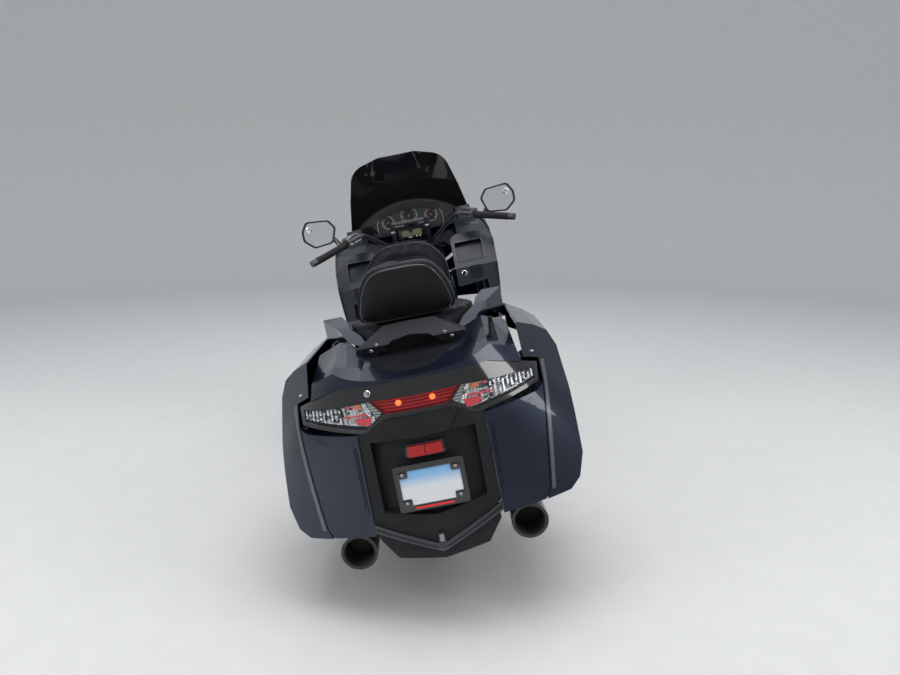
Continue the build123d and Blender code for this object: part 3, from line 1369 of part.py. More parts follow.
with BuildPart() as side_stand:
    with BuildSketch(eye_plane.offset(-STAND_EYE_HALF)):
        Circle(STAND_EYE_R)
    extrude(amount=2 * STAND_EYE_HALF)
    with BuildSketch(neck_plane):
        Rectangle(2 * STAND_EYE_HALF, 20)
    extrude(amount=STAND_NECK + 4)
    add(rod(tuple(STAND_PIVOT + stand_down * STAND_NECK), tuple(foot_low + Vector(1, 0, 5)), STAND_R))
    add(floor_in * foot_pad.part)
    with BuildSketch(eye_plane.offset(-STAND_EYE_HALF)):
        Circle(STAND_PIN_R + PIN_GAP)
    extrude(amount=2 * STAND_EYE_HALF, mode=Mode.SUBTRACT)
below_floor = Box(2000, 4000, 100, align=(Align.CENTER, Align.CENTER, Align.MAX), mode=Mode.PRIVATE)
stand_cut = floor_in * below_floor
with BuildPart() as stand_clean:
    add(side_stand.part)
    add(stand_cut, mode=Mode.SUBTRACT)
STAND_ROOT = Vector(-134, 606, 312)
with BuildPart() as frame_full:
    add(main_frame.part)
    for side in (-1, 1):
        root = eye_plane.to_local_coords(STAND_ROOT)
        with BuildSketch(eye_plane.offset(side * (STAND_EYE_HALF + 0.5))):
            Circle(STAND_EYE_R - 2)
            with Locations((root.X, root.Y)):
                Circle(STAND_EYE_R - 2)
            make_hull()
        extrude(amount=side * STAND_EAR_T)
    with BuildSketch(eye_plane.offset(-STAND_EYE_HALF - 1)):
        Circle(STAND_PIN_R)
    extrude(amount=2 * STAND_EYE_HALF + 2)

# Placing: the pieces that turn with the bars, and all the rest
STEERED = {
    "fork": fork.part,
    "handlebar": handlebar.part,
    "grips": grips,
    "hand_controls": hand_controls,
    "front_fender": front_fender.part,
    "front_calipers": front_calipers,
    "front_wheel": front_wheel,
    "front_tyre": front_tyre,
    "front_discs": front_discs,
}
FIXED = {
    "main_frame": frame_full.part,
    "engine": engine.part,
    "head_covers": head_covers,
    "belly_pan": belly_pan.part,
    "exhaust_pipes": exhaust_pipes,
    "mufflers": mufflers,
    "swingarm": swingarm.part,
    "rear_wheel": rear_wheel,
    "rear_tyre": rear_tyre,
    "rear_disc": rear_disc,
    "rear_fender": rear_fender.part,
    "upper_fairing": upper_fairing.part,
    "side_fairings": side_fairings.part,
    "headlamps": headlamps.part,
    "inner_fairing": inner_fairing.part,
    "dash_hood": dash_hood.part,
    "instrument_panel": instrument_panel.part,
    "windscreen": windscreen.part,
    "mirrors": mirrors,
    "mirror_glasses": mirror_glasses,
    "tank_cover": tank_cover.part,
    "side_covers": side_covers,
    "footrests": footrests,
    "seat": seat.part,
    "rider_backrest": rider_backrest.part,
    "passenger_backrest": passenger_backrest.part,
    "backrest_carrier": backrest_carrier.part,
    "grab_rails": grab_rails,
    "rear_cowl": rear_cowl.part,
    "tail_panel": tail_panel.part,
    "brake_lamp": brake_lamp_part,
    "corner_lamps": corner_lamps,
    "rear_valance": rear_valance.part,
    "bumper_trim": bumper_trim.part,
    "plate_frame": plate_frame.part,
    "number_plate": number_plate.part,
    "reflectors": reflectors.part,
    "side_marker_right": side_marker_right.part,
    "side_marker_left": mirror(side_marker_right.part, about=Plane.YZ),
    "antenna": antenna.part,
    "saddlebags": both_sides(hinged_bag.part),
    "saddlebag_lid_right": hinged_lid.part,
    "saddlebag_lid_left": mirror(hinged_lid.part, about=Plane.YZ),
    "side_stand": stand_clean.part,
}
pieces = {name: standing * (steer_turn * shape) for name, shape in STEERED.items()}
pieces |= {name: standing * shape for name, shape in FIXED.items()}
boxes = [piece.bounding_box() for piece in pieces.values()]
middle_x = (min(box.min.X for box in boxes) + max(box.max.X for box in boxes)) / 2
middle_y = (min(box.min.Y for box in boxes) + max(box.max.Y for box in boxes)) / 2
centring = Pos(-middle_x, -middle_y, 0)
os.makedirs("parts", exist_ok=True)
for name, piece in pieces.items():
    placed = centring * piece
    placed.label = name
    export_step(placed, f"parts/{name}.step")
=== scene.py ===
"""Dresses the touring motorcycle with finishes, upholstery, lamps, dials, tread and fasteners.

Sizes of pieces are in millimetres in the machine's own upright frame: X to the rider's right, Y
forward and Z up, with the rear axle over the origin. Stance turns them into the leaning frame's metres.
"""

import json
import logging
import math
from dataclasses import dataclass
from enum import Enum
from typing import Any, Iterable, Sequence

import bmesh
import bpy
from mathutils import Matrix, Vector
from mathutils.bvhtree import BVHTree


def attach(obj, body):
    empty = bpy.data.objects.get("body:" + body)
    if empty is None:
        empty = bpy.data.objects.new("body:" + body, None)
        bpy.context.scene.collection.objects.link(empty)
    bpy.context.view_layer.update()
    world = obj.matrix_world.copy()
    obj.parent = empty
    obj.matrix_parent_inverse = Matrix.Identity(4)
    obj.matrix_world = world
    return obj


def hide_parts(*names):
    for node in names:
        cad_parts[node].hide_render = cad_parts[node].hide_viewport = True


LOG = logging.getLogger("motorcycle")
MM = 0.001
Point = tuple[float, float, float]
Flat = tuple[float, float]
ACROSS, FORWARD, UPWARD, BACKWARD = (1, 0, 0), (0, 1, 0), (0, 0, 1), (0, -1, 0)


class Val:
    """A shader socket that Python expressions can use."""

    def __init__(self, net: "Net", socket: bpy.types.NodeSocket) -> None:
        """Keeps the net and the socket."""
        self.net = net
        self.socket = socket

    def _math(self, operation: str, first: Any, second: Any) -> "Val":
        """One Math node on two values."""
        return self.net.add("ShaderNodeMath", {"operation": operation}, {0: first, 1: second})

    def __add__(self, other: Any) -> "Val":
        """Sum."""
        return self._math("ADD", self, other)

    __radd__ = __add__

    def __mul__(self, other: Any) -> "Val":
        """Product."""
        return self._math("MULTIPLY", self, other)

    __rmul__ = __mul__

    def __sub__(self, other: Any) -> "Val":
        """Difference."""
        return self._math("SUBTRACT", self, other)

    def __rsub__(self, other: Any) -> "Val":
        """Difference, reflected."""
        return self._math("SUBTRACT", other, self)

    def step(self, low: float, high: float) -> "Val":
        """A smooth rise from nought at one value to one at another."""
        return self.net.add(
            "ShaderNodeMapRange", {"interpolation_type": "SMOOTHSTEP"},
            {0: self, 1: low, 2: high, 3: 0.0, 4: 1.0}
        )


class Net:
    """A material's node tree with one Principled surface."""

    def __init__(self, name: str) -> None:
        """Makes the material and its coordinates.

        Args:
            name: The material's name.
        """
        self.material = bpy.data.materials.new(name)
        self.material.use_nodes = True
        self.tree = self.material.node_tree
        self.surface = self.tree.nodes["Principled BSDF"]
        world = self.add("ShaderNodeTexCoord", {}, {}, "Object")
        move = {"Vector": world, "Location": UPRIGHT.to_translation(), "Rotation": UPRIGHT.to_euler()}
        self.place = self.add("ShaderNodeMapping", {}, move)

    def add(self, kind: str, settings: dict[str, Any], values: dict[Any, Any], out: Any = 0) -> Val:
        """Adds one node.

        Args:
            kind: The node's type.
            settings: Its properties.
            values: Numbers, vectors or links for its sockets, by index or name.
            out: The output that is returned.

        Returns:
            The output as a value.
        """
        node = self.tree.nodes.new(kind)
        for key, setting in settings.items():
            setattr(node, key, setting)
        for key, value in values.items():
            if isinstance(value, Val):
                self.tree.links.new(value.socket, node.inputs[key])
            else:
                node.inputs[key].default_value = value
        return Val(self, node.outputs[out])

    def noise(self, scale: float, detail: float = 3.0, place: Val | None = None, rough: float = 0.5) -> Val:
        """Noise over the upright machine, in cells per metre."""
        return self.add(
            "ShaderNodeTexNoise", {},
            {"Vector": place or self.place, "Scale": scale, "Detail": detail, "Roughness": rough}
        )

    def cells(
        self, scale: float, feature: str = "DISTANCE_TO_EDGE", place: Val | None = None,
        loose: float = 1.0, out: Any = "Distance"
    ) -> Val:
        """Voronoi cells per metre, on a grid where they aren't loose."""
        return self.add(
            "ShaderNodeTexVoronoi", {"feature": feature},
            {"Vector": place or self.place, "Scale": scale, "Randomness": loose}, out
        )

    def axis(self, index: int) -> Val:
        """One of the upright machine's coordinates, in metres."""
        return self.add("ShaderNodeSeparateXYZ", {}, {0: self.place}, index)

    def stretched(self, scales: Point) -> Val:
        """The coordinates scaled along each axis."""
        return self.add("ShaderNodeMapping", {}, {"Vector": self.place, "Scale": scales})

    def blend(self, mask: Any, first: Any, second: Any) -> Val:
        """A mix of two colours by a mask."""
        pair = [c if isinstance(c, Val) else (*c, 1.0) for c in (first, second)]
        return self.add("ShaderNodeMix", {"data_type": "RGBA"}, {0: mask, 6: pair[0], 7: pair[1]}, 2)

    def bump(self, height: Val, strength: float, reach: float) -> Val:
        """A bump from a height."""
        return self.add("ShaderNodeBump", {}, {"Strength": strength, "Distance": reach, "Height": height})

    def put(self, **values: Any) -> bpy.types.Material:
        """Sets the surface's sockets, named with underscores for spaces.

        Returns:
            The material.
        """
        for key, value in values.items():
            socket = self.surface.inputs[key.replace("_", " ")]
            if isinstance(value, Val):
                self.tree.links.new(value.socket, socket)
            else:
                socket.default_value = value
        return self.material


@dataclass(frozen=True)
class Finish:
    """A finish: a base colour with its variation, gloss and grain."""

    name: str
    colour: Point
    rough: float
    metal: float = 0.0
    coat: float = 0.0
    coat_rough: float = 0.05
    fleck: Point | None = None
    fleck_share: float = 0.4
    grain: float = 0.0
    grain_scale: float = 900.0
    vary: float = 0.12
    dust: float = 0.0
    specular: float = 0.5

    @property
    def label(self) -> str:
        """The material's name, which the CAD's own materials don't have."""
        return f"look_{self.name}"

    def shade(self, net: Net) -> tuple[Val, Val, Val]:
        """Colour, roughness and height over the surface.

        Args:
            net: The material's net.

        Returns:
            The three values.
        """
        cloud = net.noise(9.0, 4.0)
        fine = net.noise(self.grain_scale, 2.0)
        tone = net.blend(
            cloud.step(0.35, 0.7) * self.vary, self.colour,
            tuple(min(1.0, 1.6 * c + 0.03) for c in self.colour)
        )
        if self.fleck:
            flake = net.cells(2600.0, "F1").step(0.0, 0.45)
            tone = net.blend((1.0 - flake) * self.fleck_share, tone, self.fleck)
        return tone, cloud * 0.1 + (self.rough - 0.05), fine

    def make(self) -> bpy.types.Material:
        """Builds the material."""
        net = Net(self.label)
        tone, rough, height = self.shade(net)
        if self.dust:
            low = (1.0 - net.axis(2).step(0.02, 0.42)) * net.noise(26.0, 5.0).step(0.38, 0.75) * self.dust
            tone = net.blend(low, tone, DUST)
            rough = rough + low * 0.3
        values = {
            "Base_Color": tone, "Roughness": rough, "Metallic": self.metal,
            "Specular_IOR_Level": self.specular,
        }
        if self.coat:
            values |= {"Coat_Weight": self.coat, "Coat_Roughness": self.coat_rough}
        if self.grain:
            values["Normal"] = net.bump(height, self.grain, 0.0006)
        self.finish(net, values)
        return net.put(**values)

    def finish(self, net: Net, values: dict[str, Any]) -> None:
        """A place for kinds of finish to add their own sockets."""


DUST = (0.16, 0.145, 0.125)


@dataclass(frozen=True)
class Vinyl(Finish):
    """Grained vinyl with soft creases."""

    def shade(self, net: Net) -> tuple[Val, Val, Val]:
        """Adds pebbled grain and long creases to the plain finish."""
        tone, rough, _ = super().shade(net)
        pebble = net.cells(620.0).step(0.0, 0.16)
        crease = net.noise(14.0, 5.0, net.stretched((1.0, 0.35, 1.0)))
        height = pebble * 0.35 + crease * 2.2
        worn = crease.step(0.52, 0.68)
        return net.blend(worn * 0.25, tone, (0.03, 0.031, 0.035)), rough + (1.0 - pebble) * 0.12, height


@dataclass(frozen=True)
class Brushed(Finish):
    """Metal with fine lines along one direction."""

    stretch: Point = (900.0, 30.0, 900.0)

    def shade(self, net: Net) -> tuple[Val, Val, Val]:
        """Adds the lines to the plain finish."""
        tone, rough, _ = super().shade(net)
        line = net.noise(1.0, 3.0, net.stretched(self.stretch))
        return net.blend(line * 0.3, tone, tuple(0.6 * c for c in self.colour)), rough + line * 0.12, line


@dataclass(frozen=True)
class Cast(Finish):
    """Sand-cast alloy with a coarse skin."""

    def shade(self, net: Net) -> tuple[Val, Val, Val]:
        """Adds the pitted skin to the plain finish."""
        tone, rough, fine = super().shade(net)
        pits = net.cells(300.0, "F1").step(0.1, 0.6)
        return net.blend(
            (1.0 - pits) * 0.35, tone, tuple(0.5 * c for c in self.colour)
        ), rough + pits * 0.08, pits + fine


@dataclass(frozen=True)
class Lens(Finish):
    """Clear or tinted plastic that light passes."""

    alpha: float = 0.3

    def finish(self, net: Net, values: dict[str, Any]) -> None:
        """Adds the see-through."""
        values["Alpha"] = self.alpha


@dataclass(frozen=True)
class Glow(Finish):
    """A lit surface."""

    light: Point = (1.0, 1.0, 1.0)
    power: float = 1.0

    def finish(self, net: Net, values: dict[str, Any]) -> None:
        """Adds the light, patchy as behind a filament's glass."""
        patch = net.noise(240.0, 2.0)
        values["Emission_Color"] = net.blend(
            patch.step(0.3, 0.7), tuple(0.6 * c for c in self.light), self.light
        )
        values["Emission_Strength"] = self.power


@dataclass(frozen=True)
class Rubber(Finish):
    """Tyre rubber, paler where it is scuffed and dusty."""

    def shade(self, net: Net) -> tuple[Val, Val, Val]:
        """Adds scuffing to the plain finish."""
        tone, rough, fine = super().shade(net)
        scuff = net.noise(55.0, 6.0, rough=0.7).step(0.5, 0.75)
        return net.blend(scuff * 0.4, tone, (0.07, 0.066, 0.06)), rough + scuff * 0.08, fine + scuff * 0.5


@dataclass(frozen=True)
class Mosaic(Finish):
    """A lamp's faceted reflector: small bright cells in rows, some of them dark."""

    cell: Point = (105.0, 0.0, 150.0)
    dark_share: float = 0.3

    def shade(self, net: Net) -> tuple[Val, Val, Val]:
        """Adds the cells, each with its own tone, and the dark gaps between them."""
        _, rough, _ = super().shade(net)
        grid = net.stretched(self.cell)
        own = net.add("ShaderNodeSeparateColor", {}, {0: net.cells(1.0, "F1", grid, 0.45, "Color")})
        edge = net.cells(1.0, "DISTANCE_TO_EDGE", grid, 0.45).step(0.03, 0.12)
        tone = net.blend(
            own.step(self.dark_share - 0.12, self.dark_share + 0.12), (0.03, 0.034, 0.034), self.colour
        )
        return net.blend(edge, (0.04, 0.045, 0.045), tone), rough, edge


@dataclass(frozen=True)
class Rows(Finish):
    """A lamp's reflector in level rows, dark between them."""

    pitch: float = 100.0
    dark: float = 0.15

    def shade(self, net: Net) -> tuple[Val, Val, Val]:
        """Adds the rows to the plain finish."""
        tone, rough, _ = super().shade(net)
        wave = net.add("ShaderNodeMath", {"operation": "SINE"}, {0: net.axis(2) * (self.pitch * math.tau)})
        row = wave.step(-0.3, 0.5)
        return net.blend(row, tuple(self.dark * c for c in self.colour), tone), rough, row


@dataclass(frozen=True)
class Banded(Finish):
    """A plate's ground that turns to another colour above a height, in metres over the floor."""

    above: Point = (0.3, 0.5, 0.75)
    low: float = 0.0
    high: float = 1.0

    def shade(self, net: Net) -> tuple[Val, Val, Val]:
        """Adds the upper colour to the plain finish."""
        tone, rough, fine = super().shade(net)
        return net.blend(net.axis(2).step(self.low, self.high) * 0.85, tone, self.above), rough, fine


@dataclass(frozen=True)
class Weave(Finish):
    """The small prism pattern of a reflector or a coloured lens."""

    pitch: float = 260.0

    def shade(self, net: Net) -> tuple[Val, Val, Val]:
        """Adds the small square cells to the plain finish."""
        _, rough, _ = super().shade(net)
        cell = net.cells(self.pitch, "F1").step(0.1, 0.6)
        return net.blend(cell * 0.5, self.colour, tuple(0.35 * c for c in self.colour)), rough, cell


class Look(Enum):
    """The machine's finishes."""

    NAVY = Finish(
        "navy_metallic", (0.006, 0.0115, 0.0285), 0.24, 0.55, 0.8, 0.02, (0.024, 0.04, 0.085), 0.4, 0.02,
        1500.0, 0.08,
        specular=0.3,
    )
    GLOSS_BLACK = Finish("gloss_black", (0.004, 0.004, 0.005), 0.12, coat=1.0, coat_rough=0.03, vary=0.04)
    SATIN_BLACK = Finish(
        "satin_black", (0.0065, 0.0075, 0.01), 0.42, grain=0.12, grain_scale=1400.0, vary=0.05,
        specular=0.2,
    )
    GRAINED = Finish(
        "grained_black", (0.01, 0.0112, 0.013), 0.5, grain=0.35, vary=0.06, dust=0.15, specular=0.25
    )
    SHELL = Finish(
        "backrest_shell", (0.006, 0.0065, 0.0075), 0.32, grain=0.1, grain_scale=1500.0, vary=0.04,
        specular=0.28,
    )
    DARK_TRIM = Finish(
        "dark_trim", (0.0075, 0.011, 0.019), 0.36, 0.1, 0.1, 0.2, grain=0.1, grain_scale=1300.0
    )
    VINYL = Vinyl("seat_vinyl", (0.009, 0.0102, 0.013), 0.44, grain=0.28, vary=0.06, specular=0.3)
    RUBBER = Rubber("tyre_rubber", (0.018, 0.018, 0.019), 0.78, grain=0.3, dust=0.7, specular=0.3)
    GRIP = Finish("grip_rubber", (0.011, 0.011, 0.012), 0.6, grain=0.3, specular=0.3)
    ALLOY = Finish(
        "wheel_alloy", (0.1, 0.104, 0.116), 0.34, 0.85, 0.4, 0.1, grain=0.06, grain_scale=1300.0, dust=0.5
    )
    ENGINE = Cast("engine_alloy", (0.13, 0.13, 0.14), 0.5, 0.8, grain=0.3, dust=0.5)
    COVER = Finish(
        "cover_alloy", (0.2, 0.21, 0.23), 0.36, 0.85, 0.3, 0.15, grain=0.05, grain_scale=1200.0, dust=0.3
    )
    FRAME = Finish(
        "frame_black", (0.014, 0.014, 0.016), 0.4, 0.2, 0.3, 0.2, grain=0.08, grain_scale=1100.0, dust=0.4
    )
    STEEL = Brushed("disc_steel", (0.42, 0.43, 0.45), 0.3, 1.0, grain=0.12)
    EXHAUST = Brushed("header_steel", (0.3, 0.26, 0.21), 0.34, 1.0, grain=0.1, dust=0.5)
    MUFFLER = Finish(
        "muffler_black", (0.009, 0.009, 0.0105), 0.3, 0.3, 0.5, 0.15, grain=0.05, vary=0.1, dust=0.12
    )
    SOOT = Finish("muffler_bore", (0.035, 0.026, 0.02), 0.75, 0.3, grain=0.4, grain_scale=400.0, vary=0.6)
    TRIM = Finish("bumper_trim", (0.03, 0.032, 0.036), 0.2, 0.7, 0.6, 0.05, vary=0.05)
    DARK_CHROME = Finish("dark_chrome", (0.2, 0.21, 0.24), 0.14, 1.0, grain=0.02)
    CHROME = Finish("bright_chrome", (0.78, 0.79, 0.82), 0.08, 1.0, grain=0.02, vary=0.05)
    ZINC = Finish("bolt_zinc", (0.4, 0.4, 0.41), 0.34, 1.0, grain=0.08)
    SCREEN = Lens(
        "smoke_screen", (0.006, 0.006, 0.008), 0.05, coat=0.6, coat_rough=0.02, vary=0.03, alpha=0.93
    )
    CLEAR = Lens("lamp_clear", (0.3, 0.32, 0.35), 0.05, coat=1.0, vary=0.03, alpha=0.07)
    RED_LENS = Lens("lamp_red", (0.3, 0.004, 0.006), 0.08, coat=1.0, vary=0.0, alpha=0.3)
    MIRROR = Finish("mirror_silver", (0.93, 0.96, 1.0), 0.05, 1.0, vary=0.02)
    PLATE = Banded(
        "plate_white", (0.74, 0.76, 0.79), 0.3, coat=0.4, coat_rough=0.2, vary=0.05,
        above=(0.13, 0.42, 0.78), low=0.455, high=0.505,
    )
    REFLECTOR = Weave("reflector_red", (0.66, 0.008, 0.008), 0.2, coat=0.5, grain=0.2, vary=0.0)
    AMBER = Weave("lamp_amber", (0.8, 0.2, 0.05), 0.2, coat=1.0, grain=0.4)
    ROSE = Weave("lamp_rose", (0.78, 0.04, 0.06), 0.2, coat=1.0, grain=0.3, pitch=170.0)
    MOSAIC = Mosaic("lamp_mosaic", (0.86, 0.87, 0.88), 0.2, 0.2, 0.3, grain=0.6)
    RIBBED = Rows("lamp_ribs", (0.42, 0.46, 0.44), 0.2, 0.3, 0.6, grain=0.5, pitch=120.0, dark=0.3)
    RED_ROWS = Rows(
        "lamp_red_rows", (0.75, 0.012, 0.015), 0.2, 0.2, 0.4, grain=0.5, pitch=105.0, dark=0.05, vary=0.0
    )
    BULB = Glow("bulb_lit", (0.9, 0.16, 0.05), 0.3, light=(1.0, 0.22, 0.05), power=1.9)
    LED = Glow("led_lit", (0.5, 0.01, 0.012), 0.3, light=(0.75, 0.02, 0.02), power=0.55)
    DIAL = Finish("dial_face", (0.007, 0.0075, 0.009), 0.5, grain=0.05, vary=0.05)
    MARK = Finish("dial_mark", (0.62, 0.64, 0.66), 0.4, vary=0.03)
    NEEDLE = Finish("dial_needle", (0.35, 0.08, 0.05), 0.4, vary=0.03)
    DISPLAY = Finish("display_glass", (0.12, 0.12, 0.065), 0.3, coat=0.5, grain=0.05, vary=0.3)
    SWITCH = Finish("switch_grey", (0.05, 0.052, 0.058), 0.42, grain=0.15, specular=0.4)
    PALE = Finish("switch_pale", (0.55, 0.56, 0.57), 0.4, vary=0.05)
    BAND = Finish("brow_band", (0.028, 0.028, 0.031), 0.6, grain=0.2, specular=0.4)
    SILVER = Finish("dash_silver", (0.26, 0.27, 0.29), 0.32, 0.6, 0.2, 0.2, grain=0.06)
    # Pale satin: a trim on the pocket rims, and a painted highlight on the lids' seams and the pad shell's
    # edge
    EDGE = Finish("pale_trim_and_edge_highlight", (0.1, 0.105, 0.115), 0.24, 0.4, 0.6, 0.1, vary=0.05)
    THREAD = Finish("seat_thread", (0.03, 0.03, 0.034), 0.6, grain=0.3)

    def material(self) -> bpy.types.Material:
        """The finish's material, made once."""
        return bpy.data.materials.get(self.value.label) or self.value.make()


NODE_LOOKS: dict[Look, tuple[str, ...]] = {
    Look.NAVY: (
        "upper_fairing", "side_fairings", "front_fender", "tank_cover", "side_covers", "grab_rails",
        "rear_cowl",
        "saddlebags", "saddlebag_lid_right", "saddlebag_lid_left",
    ),
    Look.GLOSS_BLACK: ("tail_panel", "instrument_panel", "mirrors", "plate_frame"),
    Look.SATIN_BLACK: ("backrest_carrier", "dash_hood", "antenna"),
    Look.SWITCH: ("hand_controls",),
    Look.GRAINED: ("rear_valance", "rear_fender", "belly_pan"),
    Look.DARK_TRIM: ("inner_fairing",),
    Look.VINYL: ("seat", "rider_backrest", "passenger_backrest"),
    Look.RUBBER: ("front_tyre", "rear_tyre"),
    Look.GRIP: ("grips",),
    Look.ALLOY: ("front_wheel", "rear_wheel", "footrests"),
    Look.ENGINE: ("engine",),
    Look.COVER: ("head_covers",),
    Look.FRAME: ("main_frame", "swingarm", "side_stand", "handlebar", "fork", "front_calipers"),
    Look.STEEL: ("front_discs", "rear_disc"),
    Look.EXHAUST: ("exhaust_pipes",),
    Look.MUFFLER: ("mufflers",),
    Look.TRIM: ("bumper_trim",),
    Look.SCREEN: ("windscreen",),
    Look.CLEAR: ("headlamps", "corner_lamps"),
    Look.RED_LENS: ("brake_lamp",),
    Look.MIRROR: ("mirror_glasses",),
    Look.PLATE: ("number_plate",),
    Look.REFLECTOR: ("reflectors", "side_marker_right", "side_marker_left"),
}


@dataclass(frozen=True)
class Stance:
    """Turns the machine's own millimetres into the leaning frame's metres."""

    matrix: Matrix

    def at(self, x: float, y: float, z: float) -> Vector:
        """A point of the machine, in the leaning frame."""
        return self.matrix @ (Vector((x, y, z)) * MM)

    def way(self, x: float, y: float, z: float) -> Vector:
        """A direction of the machine, in the leaning frame."""
        return (self.matrix.to_3x3() @ Vector((x, y, z))).normalized()


@dataclass(frozen=True)
class Machine:
    """Where the machine stands, read from the frame's own joints."""

    axle_height: float = 311.0
    front_axle: tuple[float, float] = (1690.0, 320.0)
    rake: float = math.radians(29.25)

    def joint(self, name: str) -> tuple[Vector, Vector]:
        """A joint's place and axis."""
        found = next(j for j in FRAME["joints"] if j["name"] == name)
        return Vector(found["pos_m"]), Vector(found["axis"]).normalized()

    def fixed(self) -> Stance:
        """The stance of all that doesn't steer."""
        axle, right = self.joint("rear_wheel_spin")
        _, forward = self.joint("lid_right_hinge")
        up = right.cross(forward).normalized()
        turn = Matrix((right, up.cross(right), up)).transposed().to_4x4()
        return Stance(Matrix.Translation(axle - up * self.axle_height * MM) @ turn)

    def steered(self) -> Stance:
        """The stance of all that turns with the bars."""
        axle, right = self.joint("front_wheel_spin")
        _, pole = self.joint("steering")
        ahead = pole.cross(right)
        forward = ahead * math.cos(self.rake) - pole * math.sin(self.rake)
        up = ahead * math.sin(self.rake) + pole * math.cos(self.rake)
        turn = Matrix((right, forward, up)).transposed().to_4x4()
        wheel = turn @ (Vector((0.0, self.front_axle[0], self.front_axle[1])) * MM)
        return Stance(Matrix.Translation(axle - wheel) @ turn)


